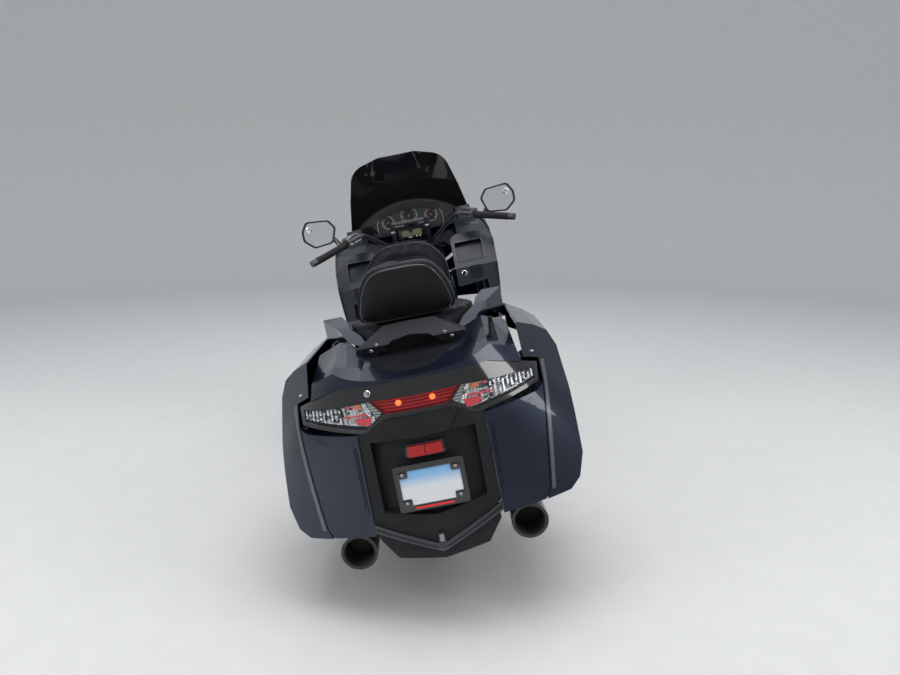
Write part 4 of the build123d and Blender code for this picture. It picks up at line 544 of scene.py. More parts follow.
class Shape:
    """A mesh under construction in the machine's own millimetres."""

    def __init__(self) -> None:
        """Starts empty."""
        self.points: list[Vector] = []
        self.faces: list[tuple[int, ...]] = []

    def grid(self, rows: Sequence[Sequence[Vector]], around: bool = True, closed: bool = False) -> "Shape":
        """Joins rows of points with four-sided faces.

        Args:
            rows: Rows of equal length.
            around: Whether each row closes on itself.
            closed: Whether the last row joins the first.

        Returns:
            This shape.
        """
        start, width = len(self.points), len(rows[0])
        for row in rows:
            self.points.extend(row)
        for r in range(len(rows) if closed else len(rows) - 1):
            for c in range(width if around else width - 1):
                a, b = start + r * width, start + (r + 1) % len(rows) * width
                self.faces.append((a + c, a + (c + 1) % width, b + (c + 1) % width, b + c))
        return self

    def cap(self, row: Sequence[Vector]) -> "Shape":
        """Closes a ring of points with one face."""
        start = len(self.points)
        self.points.extend(row)
        self.faces.append(tuple(range(start, start + len(row))))
        return self

    def lathe(
        self, origin: Point, axis: Point, profile: Sequence[Flat], sides: int = 32, closed: bool = True
    ) -> "Shape":
        """Turns a profile of (distance along, radius) about an axis.

        Args:
            origin: A point on the axis.
            axis: Its direction.
            profile: The profile's points.
            sides: Faces round the axis.
            closed: Whether the ends are closed flat.

        Returns:
            This shape.
        """
        along = Vector(axis).normalized()
        side = along.orthogonal().normalized()
        other = along.cross(side)
        rows = [
            [
                Vector(origin) + along * s + (side * math.cos(t) + other * math.sin(t)) * r
                for t in (math.tau * k / sides for k in range(sides))
            ]
            for s, r in profile
        ]
        self.grid(rows)
        if closed:
            self.cap(list(reversed(rows[0]))).cap(rows[-1])
        return self

    def tube(self, path: Sequence[Point], radius: float, sides: int = 12, loop: bool = False) -> "Shape":
        """A round tube along points."""
        line = [Vector(p) for p in path]
        count = len(line)
        rows = []
        side = (line[1] - line[0]).orthogonal().normalized()
        for i, point in enumerate(line):
            before = line[i - 1] if i or loop else point
            after = line[(i + 1) % count] if i < count - 1 or loop else point
            run = (after - before).normalized()
            side = (side - run * side.dot(run)).normalized()
            other = run.cross(side)
            rows.append([point + (side * math.cos(t) + other * math.sin(t)) * radius
                         for t in (math.tau * k / sides for k in range(sides))])
        self.grid(rows, closed=loop)
        if not loop:
            self.cap(list(reversed(rows[0]))).cap(rows[-1])
        return self

    def prism(
        self, outline: Sequence[Flat], origin: Point, right: Point, up: Point, depth: float,
        bevel: float = 0.0,
    ) -> "Shape":
        """A slab from a flat outline, with its front edge cut back.

        Args:
            outline: Points (along right, along up), counterclockwise as seen from the front.
            origin: Where the outline's zero lies.
            right: Direction of the outline's first axis.
            up: Direction of its second axis.
            depth: Thickness behind the face.
            bevel: Width of the cut along the front edge.

        Returns:
            This shape.
        """
        x, y = Vector(right).normalized(), Vector(up).normalized()
        out = x.cross(y)
        centre_x = sum(p[0] for p in outline) / len(outline)
        centre_y = sum(p[1] for p in outline) / len(outline)

        def ring(inset: float, back: float) -> list[Vector]:
            """The outline drawn in and set back."""
            made = []
            for px, py in outline:
                run = Vector((px - centre_x, py - centre_y))
                run = run * max(0.0, 1 - inset / max(run.length, 0.001))
                made.append(Vector(origin) + x * (centre_x + run.x) + y * (centre_y + run.y) - out * back)
            return made

        rows = [
            ring(0, depth), ring(0, bevel), ring(0.35 * bevel, 0.3 * bevel), ring(bevel, 0)
        ] if bevel else [ring(0, depth), ring(0, 0)]
        return self.grid(rows).cap(list(reversed(rows[0]))).cap(rows[-1])

    def bolt(self, place: Point, axis: Point, radius: float, height: float) -> "Shape":
        """A round-headed bolt with a socket."""
        head = [
            (-1.0, radius), (height * 0.6, radius), (height, radius * 0.72), (height, radius * 0.42),
            (height * 0.45, radius * 0.4),
        ]
        return self.lathe(place, axis, head, 14)

    def join(self, other: "Shape") -> "Shape":
        """Adds another shape's points and faces."""
        start = len(self.points)
        self.points.extend(other.points)
        self.faces.extend([tuple(start + i for i in face) for face in other.faces])
        return self

    def mirror(self) -> "Shape":
        """Adds the other side's copy."""
        start = len(self.points)
        self.points.extend([Vector((-p.x, p.y, p.z)) for p in self.points])
        self.faces.extend([tuple(start + i for i in reversed(face)) for face in self.faces])
        return self

    def piece(
        self, name: str, look: Look, stance: Stance, body: str, slot: str, replaces: Iterable[str] = (),
        flat: float = 0.6,
    ) -> bpy.types.Object:
        """Makes the object, with its finish and body.

        Args:
            name: The object's name.
            look: Its finish.
            stance: The frame its points are in.
            body: The body it rides on.
            slot: Not used.
            replaces: CAD nodes it stands for.
            flat: Edges sharper than this, in radians, stay sharp.

        Returns:
            The object.
        """
        mesh = bpy.data.meshes.new(name)
        mesh.from_pydata([stance.matrix @ (p * MM) for p in self.points], [], self.faces)
        build = bmesh.new()
        build.from_mesh(mesh)
        bmesh.ops.remove_doubles(build, verts=build.verts, dist=0.00002)
        bmesh.ops.recalc_face_normals(build, faces=build.faces)
        build.to_mesh(mesh)
        build.free()
        made = bpy.data.objects.new(name, mesh)
        bpy.context.scene.collection.objects.link(made)
        mesh.shade_smooth()
        mesh.set_sharp_from_angle(angle=flat)
        return settle(made, look, body, replaces)


def settle(
    made: bpy.types.Object, look: Look, body: str, replaces: Iterable[str] = ()
) -> bpy.types.Object:
    """Gives an object its finish, body and replaced nodes.

    Args:
        made: The object.
        look: Its finish.
        body: The body it rides on.
        replaces: CAD nodes it stands for.

    Returns:
        The object.
    """
    made.data.materials.clear()
    made.data.materials.append(look.material())
    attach(made, body)
    if replaces:
        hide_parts(*replaces)
    LOG.info("made %s with %d faces", made.name, len(made.data.polygons))
    return made


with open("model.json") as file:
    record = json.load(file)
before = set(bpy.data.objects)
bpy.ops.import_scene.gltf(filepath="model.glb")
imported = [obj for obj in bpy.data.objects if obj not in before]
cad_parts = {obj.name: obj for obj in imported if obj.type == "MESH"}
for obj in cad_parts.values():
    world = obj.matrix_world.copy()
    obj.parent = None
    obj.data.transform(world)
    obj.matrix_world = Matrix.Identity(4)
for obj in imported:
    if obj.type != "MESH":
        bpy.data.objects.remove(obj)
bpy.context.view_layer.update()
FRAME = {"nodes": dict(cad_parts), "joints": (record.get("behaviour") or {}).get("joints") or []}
UPRIGHT = Machine().fixed().matrix.inverted()


class View(Enum):
    """Sides that thin pieces are laid on from: right, up, where the lines start and their way."""

    BEHIND = (ACROSS, UPWARD, (0, -900, 0), FORWARD)
    AHEAD = (ACROSS, UPWARD, (0, 2300, 0), BACKWARD)
    ABOVE = (ACROSS, FORWARD, (0, 0, 1700), (0, 0, -1))


@dataclass
class Skin:
    """A surface that thin pieces follow."""

    stance: Stance
    view: View
    meshes: Sequence[bpy.types.Mesh]

    def __post_init__(self) -> None:
        """Gathers the meshes' faces."""
        points: list[Vector] = []
        faces: list[list[int]] = []
        for mesh in self.meshes:
            start = len(points)
            points += [v.co for v in mesh.vertices]
            faces += [[start + i for i in polygon.vertices] for polygon in mesh.polygons]
        self.tree = BVHTree.FromPolygons(points, faces)

    def at(self, place: Flat, lift: float = 0.0) -> Vector:
        """The surface's point behind a flat place, lifted towards the viewer.

        Args:
            place: Along the view's right and up.
            lift: How far off the surface.

        Returns:
            The point, in the machine's millimetres.
        """
        right, up, start, way = (Vector(v) for v in self.view.value)
        origin = right * place[0] + up * place[1] + start
        hit = self.tree.ray_cast(self.stance.at(*origin), self.stance.way(*way))[0]
        if hit is None:
            raise ValueError(f"nothing lies behind {place}")
        return (self.stance.matrix.inverted() @ hit) / MM - way * lift

    def plate(self, outline: Sequence[Flat], lift: float, thick: float, rings: int = 5) -> Shape:
        """A thin plate on the surface inside an outline.

        Args:
            outline: Its corners, as the view shows them.
            lift: How far its face stands off the surface.
            thick: Its thickness.
            rings: Rings of points from its middle out.

        Returns:
            The shape.
        """
        edge = dense(outline, 14.0)
        mid_x = sum(p[0] for p in edge) / len(edge)
        mid_y = sum(p[1] for p in edge) / len(edge)
        fronts = []
        for k in range(1, rings + 1):
            scale = k / rings
            fronts.append(
                [
                    self.at((mid_x + (x - mid_x) * scale, mid_y + (y - mid_y) * scale), lift)
                    for x, y in edge
                ]
            )
        way = Vector(self.view.value[3])
        backs = [[p + way * thick for p in row] for row in fronts]
        shape = Shape().grid(fronts).grid(list(reversed(backs))).grid([fronts[-1], backs[-1]])
        return shape.cap(fronts[0]).cap(list(reversed(backs[0])))

    def welt(self, path: Sequence[Flat], radius: float, lift: float, loop: bool = False) -> Shape:
        """A bead along a path on the surface."""
        line = dense(path, 12.0, loop)
        return Shape().tube([tuple(self.at(p, lift)) for p in line], radius, 8, loop)


def dense(points: Sequence[Flat], pitch: float, loop: bool = True) -> list[Flat]:
    """A flat line with points added so that none are farther apart than a pitch."""
    made = []
    count = len(points)
    for i in range(count if loop else count - 1):
        start, end = Vector(points[i]), Vector(points[(i + 1) % count])
        steps = max(1, math.ceil((end - start).length / pitch))
        made += [tuple(start.lerp(end, k / steps)) for k in range(steps)]
    return made if loop else made + [tuple(points[-1])]


def rounded(outline: Sequence[Flat], radius: float, steps: int = 6) -> list[Flat]:
    """An outline with its corners rounded.

    Args:
        outline: The corners.
        radius: The rounding's tangent length.
        steps: Points per corner.

    Returns:
        The rounded outline.
    """
    made = []
    count = len(outline)
    for i in range(count):
        corner = Vector(outline[i])
        back = Vector(outline[i - 1]) - corner
        ahead = Vector(outline[(i + 1) % count]) - corner
        start = corner + back.normalized() * min(radius, back.length * 0.48)
        end = corner + ahead.normalized() * min(radius, ahead.length * 0.48)
        for k in range(steps + 1):
            t = k / steps
            point = start * (1 - t) ** 2 + corner * 2 * t * (1 - t) + end * t**2
            made.append((point.x, point.y))
    return made


def rect(half_x: float, half_y: float) -> list[Flat]:
    """A four-cornered outline about its middle."""
    return [(-half_x, -half_y), (half_x, -half_y), (half_x, half_y), (-half_x, half_y)]


def skin_of(stance: Stance, view: View, *nodes: str) -> Skin:
    """The surface of some CAD nodes, seen from one side."""
    return Skin(stance, view, [FRAME["nodes"][name].data for name in nodes])


@dataclass
class Upholstery:
    """The seat and both backrests: stuffed, with welts and stitched seams."""

    stance: Stance
    voxel: float = 0.006
    pressure: float = 4.0
    frames: int = 20
    welt_radius: float = 2.2
    rider_outline: tuple[Flat, ...] = (
        (-146, 0), (-172, 64), (-168, 149), (-112, 222), (-50, 242), (50, 242), (112, 222), (168, 149),
        (172, 64), (146, 0),
    )
    passenger_outline: tuple[Flat, ...] = (
        (-138, 0), (-176, 16), (-176, 56), (-156, 126), (-118, 184), (-70, 200),
        (70, 200), (118, 184), (156, 126), (176, 56), (176, 16), (138, 0),
    )
    saddle_seams: tuple[tuple[Flat, ...], ...] = (
        ((-74, 560), (-90, 500), (-100, 410), (-102, 330), (102, 330), (100, 410), (90, 500), (74, 560)),
        ((-172, 200), (-188, 120), (-190, 40), (-170, -20), (170, -20), (190, 40), (188, 120), (172, 200)),
    )
    lean: float = math.radians(11.0)
    # Each pad's foot height, where its front stands, and its thickness
    rider_place: Point = (896.0, 286.0, 62.0)
    passenger_place: Point = (894.0, -66.0, 84.0)
    corner: float = 42.0

    def pad_point(self, x: float, up: float, back: float, foot: float, at_y: float) -> Vector:
        """A point of a leaning pad: across, up its face, back from its front."""
        c, s = math.cos(self.lean), math.sin(self.lean)
        return Vector((x, at_y - back * c - up * s, foot - back * s + up * c))

    def pad(self, outline: Sequence[Flat], foot: float, at_y: float, depth: float) -> Shape:
        """A stuffed pad's closed form, a little under its full size.

        Args:
            outline: Its outline seen from behind, from its foot.
            foot: The foot's height.
            at_y: Where its front stands.
            depth: Its thickness.

        Returns:
            The shape.
        """
        ring = rounded(outline, self.corner)
        middle = sum(p[1] for p in ring) / len(ring)
        rows = []
        for scale, back in self.pad_rings(depth):
            rows.append([
                self.pad_point(x * scale, middle + (z - middle) * scale, back, foot, at_y) for x, z in ring
            ])
        return Shape().grid(rows).cap(list(reversed(rows[0]))).cap(rows[-1])

    def pad_rings(self, depth: float) -> list[tuple[float, float]]:
        """The pad's section, from the front round to the back: outline's scale, and how far back."""
        made = []
        for k in range(25):
            turn = math.pi * k / 24
            bulge = abs(math.sin(turn)) ** 0.42
            made.append(
                (
                    0.06 + 0.915 * bulge,
                    depth * (0.5 - 0.47 * math.copysign(abs(math.cos(turn)) ** 0.55, math.cos(turn))),
                )
            )
        return made

    def puff(self, obj: bpy.types.Object, reach: float) -> None:
        """Stuffs a closed form: remeshed, blown up a little by the cloth solver, and capped.

        Args:
            obj: The form.
            reach: The farthest that a point may move, in metres.
        """
        bpy.context.view_layer.objects.active = obj
        remesh = obj.modifiers.new("even", "REMESH")
        remesh.mode = "VOXEL"
        remesh.voxel_size = self.voxel
        bpy.ops.object.modifier_apply(modifier=remesh.name)
        relax = obj.modifiers.new("relax", "SMOOTH")
        relax.factor, relax.iterations = 0.5, 6
        bpy.ops.object.modifier_apply(modifier=relax.name)
        before = [v.co.copy() for v in obj.data.vertices]
        cloth = obj.modifiers.new("stuffing", "CLOTH")
        cloth.settings.use_pressure = True
        cloth.settings.uniform_pressure_force = self.pressure
        cloth.settings.effector_weights.gravity = 0.0
        for number in range(1, self.frames + 1):
            bpy.context.scene.frame_set(number)
        bpy.ops.object.modifier_apply(modifier=cloth.name)
        bpy.context.scene.frame_set(1)
        for vertex, rest in zip(obj.data.vertices, before):
            move = vertex.co - rest
            if move.length > reach:
                vertex.co = rest + move.normalized() * reach
        obj.data.shade_smooth()

    def seat(self) -> None:
        """The two-step seat, stuffed from its solid, with welts along its edges."""
        mesh = FRAME["nodes"]["seat"].data.copy()
        seat = bpy.data.objects.new("seat_cushion", mesh)
        bpy.context.scene.collection.objects.link(seat)
        self.puff(seat, 0.007)
        settle(seat, Look.VINYL, "chassis", ("seat",))
        skin = Skin(self.stance, View.ABOVE, [seat.data])
        for name, path in zip(("rider_seam", "passenger_seam"), self.saddle_seams):
            skin.welt(rounded(path, 30), 1.8, 0.2, True).piece(
                name, Look.THREAD, self.stance, "chassis", "seat_vinyl"
            )

    def welt(
        self, name: str, outline: Sequence[Flat], scale: float, back: float, foot: float, at_y: float
    ) -> None:
        """Piping round a pad's face, in satin black; on the passenger pad's back its black also stands in
        for the painted shade of the groove there.

        Args:
            name: The piece's name.
            outline: The pad's outline.
            scale: Its scale about the outline's middle.
            back: How far back it lies.
            foot: The pad's foot.
            at_y: Where the pad's front stands.
        """
        ring = rounded(outline, self.corner)
        middle = sum(p[1] for p in ring) / len(ring)
        path = [self.pad_point(x * scale, middle + (z - middle) * scale, back, foot, at_y) for x, z in ring]
        Shape().tube([tuple(p) for p in path], self.welt_radius, 8, loop=True).piece(
            name, Look.SATIN_BLACK, self.stance, "chassis", "seat_vinyl"
        )

    def backrests(self) -> None:
        """Both backrests, each a stuffed pad with piping near both edges, and the rider's posts."""
        for name, node, outline, (foot, at_y, depth) in (
            ("rider_pad", "rider_backrest", self.rider_outline, self.rider_place),
            ("passenger_pad", "passenger_backrest", self.passenger_outline, self.passenger_place),
        ):
            made = self.pad(outline, foot, at_y, depth).piece(
                name, Look.VINYL, self.stance, "chassis", "seat_vinyl", (node,)
            )
            self.puff(made, 0.005)
            # The back piping is partly painted shade: its black stands for the shade in the groove along
            # the pad's back edge
            for edge, back in (("front", depth * 0.14), ("back", depth * 0.86)):
                self.welt(f"{name}_welt_{edge}", outline, 0.93, back, foot, at_y)
        self.back_shell()
        posts = Shape()
        outline = rect(17, 5)
        for x in (-60.0, 60.0):
            posts.prism(outline, (x, 252, 918), ACROSS, FORWARD, 102, 1.0)
        posts.piece("rider_pad_posts", Look.SATIN_BLACK, self.stance, "chassis", "satin_black")

    def back_shell(self) -> None:
        """The moulded shell on the back of the passenger's pad, with a pale bead round its edge that is a
        painted highlight.
        """
        foot, at_y, _ = self.passenger_place
        ring = rounded(self.passenger_outline, self.corner)
        middle = sum(p[1] for p in ring) / len(ring)
        rows = []
        for scale, back in (
            (0.86, 78.0), (0.86, 87.5), (0.845, 89.0), (0.7, 90.6), (0.5, 91.8), (0.25, 92.4),
            (0.05, 92.6),
        ):
            rows.append([
                self.pad_point(x * scale, middle + (z - middle) * scale, back, foot, at_y) for x, z in ring
            ])
        shell = Shape().grid(rows).cap(rows[-1])
        shell.piece("passenger_pad_shell", Look.SHELL, self.stance, "chassis", "backrest_shell")
        # Painted highlight: a pale bead where the shell's rounded edge catches the light
        path = [self.pad_point(x * 0.875, middle + (z - middle) * 0.875, 86.0, foot, at_y) for x, z in ring]
        Shape().tube([tuple(p) for p in path], 1.6, 8, True).piece(
            "passenger_pad_edge_highlight", Look.EDGE, self.stance, "chassis", "backrest_shell"
        )

    def build(self) -> None:
        """Makes all the upholstery."""
        self.seat()
        self.backrests()


@dataclass
class Tyre:
    """A tyre with sidewall rings and swept grooves."""

    stance: Stance
    name: str
    node: str
    body: str
    centre: Point
    radius: float
    half: float
    drop: float
    bead_radius: float
    bead_half: float
    grooves: int
    around: int = 324
    groove_depth: float = 4.0

    def profile(self) -> list[tuple[float, float, float]]:
        """The section from one bead to the other: across, radius, and how much of the tread it is."""
        made = []
        wall = 13
        foot = self.bead_radius + 16
        shoulder = self.radius - self.drop
        crown_r = (self.half**2 + self.drop**2) / (2 * self.drop)
        made.append((self.bead_half - 0.5, self.bead_radius + 1.0, 0.0))
        for k in range(wall):
            t = k / (wall - 1)
            bulge = math.sin(math.pi * (0.5 * t + 0.02))
            across = self.bead_half + (self.half - 1.0 - self.bead_half) * min(1.0, bulge)
            step = 0.7 if k in (5, 8) else 0.0
            made.append((across - step, foot + (shoulder - foot) * t, 0.0))
        turn = math.asin(min(1.0, self.half / crown_r))
        for k in range(1, 44):
            a = turn * (1 - k / 44)
            made.append(
                (
                    crown_r * math.sin(a), self.radius - 0.4 - crown_r * (1 - math.cos(a)),
                    min(1.0, (1 - a / turn) * 4),
                )
            )
        return made + [(-x, r, w) for x, r, w in reversed(made)]

    def groove(self, across: float, turn: float) -> float:
        """Depth of the grooves at a place: a pair round the middle, and cuts to each shoulder."""
        u = abs(across) / self.half
        ring = 1.0 if 0.10 < u < 0.15 else 0.0
        phase = (turn * self.grooves / math.tau + (u * 0.9 if across > 0 else u * 0.9 + 0.5)) % 1.0
        cut = 1.0 if 0.24 < u < 0.88 and phase < 0.13 else 0.0
        fine = 0.6 if 0.45 < u < 0.92 and 0.5 < phase < 0.58 else 0.0
        return max(ring, cut, fine) * self.groove_depth

    def build(self) -> None:
        """Makes the tyre in place of its plain solid."""
        cx, cy, cz = self.centre
        profile = self.profile()
        rows = []
        for k in range(self.around):
            turn = math.tau * k / self.around
            ring = []
            for across, radius, tread in profile:
                r = radius - self.groove(across, turn) * (1.0 if tread > 0.3 else 0.0)
                ring.append(Vector((cx + across, cy + r * math.cos(turn), cz + r * math.sin(turn))))
            rows.append(ring)
        Shape().grid(rows, around=True, closed=True).piece(
            self.name, Look.RUBBER, self.stance, self.body, "tyre", (self.node,), 0.5
        )


@dataclass
class RollingGear:
    """Both tyres, the axle nuts and the front disc bolts."""

    fixed: Stance
    steered: Stance

    def build(self) -> None:
        """Makes the running gear's details."""
        y, z = Machine.front_axle
        rear = Machine.axle_height
        Tyre(
            self.steered, "front_tread", "front_tyre", "front_wheel", (0, y, z), radius=z, half=62, drop=50,
            bead_radius=229, bead_half=46, grooves=22,
        ).build()
        Tyre(
            self.fixed, "rear_tread", "rear_tyre", "rear_wheel", (0, 0, rear), radius=rear, half=89,
            drop=51,
            bead_radius=203, bead_half=68, grooves=20,
        ).build()
        bolts = Shape()
        for k in range(5):
            turn = math.tau * k / 5 + 0.3
            for x, sign in ((61.6, 1), (-61.6, -1)):
                bolts.bolt((x, y + 36 * math.cos(turn), z + 36 * math.sin(turn)), (sign, 0, 0), 5.5, 5)
        bolts.piece("front_disc_bolts", Look.ZINC, self.steered, "front_wheel", "disc_steel")
        ends = Shape()
        for sign in (1, -1):
            ends.lathe((sign * 142, y, z), (sign, 0, 0), [(0, 17), (3, 17), (6, 13), (6, 8), (2, 7)], 6)
        ends.piece("front_axle_nuts", Look.ZINC, self.steered, "steering", "fork_black")
        nut = Shape().lathe((80.6, 0, rear), ACROSS, [(0, 26), (10, 26), (14, 22), (14, 13), (4, 12)], 6)
        nut.piece("rear_axle_nut", Look.ZINC, self.fixed, "chassis", "frame_black")


@dataclass
class Cockpit:
    """Dials, console, bar posts, switches, grips and the inner panels' details."""

    fixed: Stance
    steered: Stance
    panel_y: float = 1310.0
    dials: tuple[tuple[float, float, float, float], ...] = (
        (-118.0, 1196.0, 34.0, 215.0), (0.0, 1214.0, 44.0, 250.0), (118.0, 1196.0, 34.0, 130.0),
    )
    grip_near: Point = (236.0, 1014.0, 1172.0)
    grip_far: Point = (470.0, 840.0, 1103.0)
    # Sections from the side: a hood over the dash's rear edge, and a narrower face that the bar clears
    console_hood: tuple[Flat, ...] = (
        (1309.0, 1140.6), (1309.0, 1188.0), (1298.0, 1188.0), (1236.0, 1147.0), (1236.0, 1140.6)
    )
    console_face: tuple[Flat, ...] = (
        (1236.0, 1144.0), (1236.0, 1096.0), (1241.4, 1096.0), (1241.4, 1144.0)
    )
    console_half: float = 104.0
    face_half: float = 74.0
    post_x: float = 90.0
    brow_radius: float = 441.9
    brow_middle: float = 858.1

    def console(self) -> None:
        """The dark console with its pale top edge, display, knobs and keys, and the dash's side trims."""
        body = Shape()
        for side, reach in ((self.console_hood, self.console_half), (self.console_face, self.face_half)):
            body.prism(side, (reach, 0, 0), FORWARD, UPWARD, 2 * reach)
        body.piece("dash_console", Look.GLOSS_BLACK, self.fixed, "chassis", "gloss_black")
        half = self.console_half - 3
        edge = Shape().prism(
            [(-half, 0), (half, 0), (half, 3), (-half, 3)], (0, 1296.5, 1187), ACROSS, UPWARD, 10, 1
        )
        edge.piece("console_edge", Look.SILVER, self.fixed, "chassis", "gloss_black")
        glass = Shape().prism(
            [(-54, -15), (54, -15), (54, 17), (-54, 17)], (0, 1234.6, 1121), ACROSS, UPWARD, 2.5, 1
        )
        glass.piece("console_display", Look.DISPLAY, self.fixed, "chassis", "gloss_black")
        knob = Shape().lathe((-4, 1237, 1136), BACKWARD, [(0, 9), (8, 9), (10, 7.5), (10, 1)], 24)
        knob.lathe((44, 1237, 1150), BACKWARD, [(0, 6), (5, 6), (6, 4.5), (6, 1)], 20)
        knob.piece("console_knobs", Look.SATIN_BLACK, self.fixed, "chassis", "gloss_black")
        keys = Shape()
        for x in (-16.0, -4.0, 24.0, 42.0):
            keys.prism(rect(4, 3.5), (x, 1234.4, 1100.5), ACROSS, UPWARD, 3, 1)
        keys.piece("console_keys", Look.PALE, self.fixed, "chassis", "gloss_black")
        trims = Shape()
        for rise in (0, 1):
            trims.tube(
                [(176, 1308, 1142 + rise * 3), (181, 1306, 1168), (178, 1307, 1196), (168, 1309, 1216)],
                2.4 - rise, 10,
            )
        trims.mirror().piece("dash_side_trims", Look.SILVER, self.fixed, "chassis", "gloss_black")

    def brow_band(self) -> None:
        """The matte band under the hood's arch, sloping in to the dials."""
        rows = []
        for inset, y in (
            (8.5, 1309.6), (9.0, 1293.0), (13.0, 1291.6), (50.0, 1305.0), (54.0, 1307.5), (54.0, 1309.6)
        ):
            arch = self.brow_radius - inset
            reach = math.radians(25.5 - inset * 0.06)
            turns = [reach * (2 * k / 36 - 1) for k in range(37)]
            rows.append(
                [Vector((arch * math.sin(t), y, self.brow_middle + arch * math.cos(t))) for t in turns]
            )
        ends = [[row[0] for row in rows], [row[-1] for row in rows]]
        Shape().grid(rows, around=False).cap(ends[0]).cap(list(reversed(ends[1]))).piece(
            "brow_band", Look.BAND, self.fixed, "chassis", "satin_black"
        )

    def posts(self) -> None:
        """The bar's clamping posts with their bright bands."""
        posts, bands = Shape(), Shape()
        for x in (-self.post_x, self.post_x):
            posts.lathe((x, 1150, 1072), UPWARD, [(0, 9), (8, 12), (110, 12.5), (114, 11), (115, 4)], 28)
            bands.lathe((x, 1150, 1142), UPWARD, [(0, 12.2), (0.5, 13.2), (9, 13.2), (9.5, 12.2)], 28)
            posts.tube([(x * 0.93, 1188, 1054), (x * 0.97, 1166, 1066), (x, 1150, 1084)], 9.5, 14)
        posts.piece("bar_posts", Look.SATIN_BLACK, self.steered, "steering", "bar_black")
        bands.piece("bar_post_bands", Look.CHROME, self.steered, "steering", "bar_black")

    def inner_panels(self) -> None:
        """Rims round the pockets, the small lids and the key knob on the inner panels."""
        skin = skin_of(self.fixed, View.BEHIND, "inner_fairing")
        rim = [(205, 939), (347, 939), (347, 1037), (205, 1037)]
        skin.welt(rounded(rim, 8), 2.0, 0.4, True).mirror().piece(
            "pocket_rims", Look.EDGE, self.fixed, "chassis", "dark_trim"
        )
        lid = rounded([(262, 852), (326, 852), (326, 914), (262, 914)], 12)
        skin.plate(lid, 2.2, 4.0).mirror().piece(
            "panel_lids", Look.SATIN_BLACK, self.fixed, "chassis", "dark_trim"
        )
        seat = skin.at((232, 886))
        knob = Shape().lathe(tuple(seat), (0, -1, 0.2), [(-3, 13), (2, 13), (3, 11), (3, 9.5)], 28)
        knob.piece("panel_key_ring", Look.CHROME, self.fixed, "chassis", "dark_trim")
        knob = Shape().lathe(tuple(seat), (0, -1, 0.2), [(0, 9), (7, 9), (9, 7), (9, 1)], 24)
        knob.piece("panel_key_knob", Look.SATIN_BLACK, self.fixed, "chassis", "dark_trim")

    def dial_faces(self) -> None:
        """White-ringed dials with ticks and needles, sunk in the panel."""
        faces, rings, marks, needles = Shape(), Shape(), Shape(), Shape()
        for x, z, radius, needle in self.dials:
            face_y = self.panel_y + 9.5
            faces.lathe((x, face_y, z), BACKWARD, [(0, radius - 1), (1.2, radius - 1)], 40)
            rings.lathe(
                (x, self.panel_y + 2, z), BACKWARD,
                [
                    (-6, radius - 0.4), (2, radius - 0.4), (2.6, radius - 1), (2, radius - 1.8),
                    (-6, radius - 1.8),
                ],
                48, False,
            )
            for k in range(25):
                turn = math.radians(-40 + 260 * k / 24)
                inner = radius * (0.66 if k % 4 == 0 else 0.74)
                outer = radius * 0.83
                across = 0.9 if k % 4 == 0 else 0.5
                c, s = math.cos(turn), math.sin(turn)
                outline = [(inner * c - across * s, inner * s + across * c), (inner * c + across * s, inner * s - across * c),
                           (outer * c + across * s, outer * s - across * c),
                           (outer * c - across * s, outer * s + across * c)]
                marks.prism(outline, (x, face_y - 1.5, z), ACROSS, UPWARD, 0.6)
            turn = math.radians(needle)
            c, s = math.cos(turn), math.sin(turn)
            tip = radius * 0.7
            needles.prism([(-1.4 * s, 1.4 * c), (1.4 * s, -1.4 * c), (tip * c + 0.4 * s, tip * s - 0.4 * c), (tip * c - 0.4 * s, tip * s + 0.4 * c)],
                          (x, face_y - 2.6, z), ACROSS, UPWARD, 0.8)
            needles.lathe((x, face_y - 2, z), BACKWARD, [(0, 4.5), (2.4, 4.5), (3, 3)], 18)
        faces.piece("dial_faces", Look.DIAL, self.fixed, "chassis", "gloss_black")
        rings.piece("dial_rings", Look.MARK, self.fixed, "chassis", "gloss_black")
        marks.piece("dial_ticks", Look.MARK, self.fixed, "chassis", "gloss_black")
        needles.piece("dial_needles", Look.NEEDLE, self.fixed, "chassis", "gloss_black")

    def ribbed_grips(self) -> None:
        """Grips with ribs, in place of the plain sleeves, and their end weights' rings."""
        start, end = Vector(self.grip_near), Vector(self.grip_far)
        run = end - start
        near, far = 0.402, 0.984
        length = run.length * (far - near)
        origin = start + run * near
        profile = [(0.0, 11.6), (0.0, 19.0), (4.0, 19.5), (7.0, 19.0)]
        ribs = 34
        for k in range(ribs):
            s = 8 + (length - 14) * k / ribs
            pitch = (length - 14) / ribs
            profile += [
                (s, 15.6), (s + pitch * 0.25, 16.8), (s + pitch * 0.7, 16.8), (s + pitch * 0.92, 15.6)
            ]
        profile += [(length - 5, 17.0), (length - 0.5, 17.0), (length, 16.0), (length, 11.6)]
        Shape().lathe(tuple(origin), tuple(run), profile, 36, False).mirror().piece(
            "ribbed_grips", Look.GRIP, self.steered, "steering", "grip_rubber", ("grips",), 0.7
        )

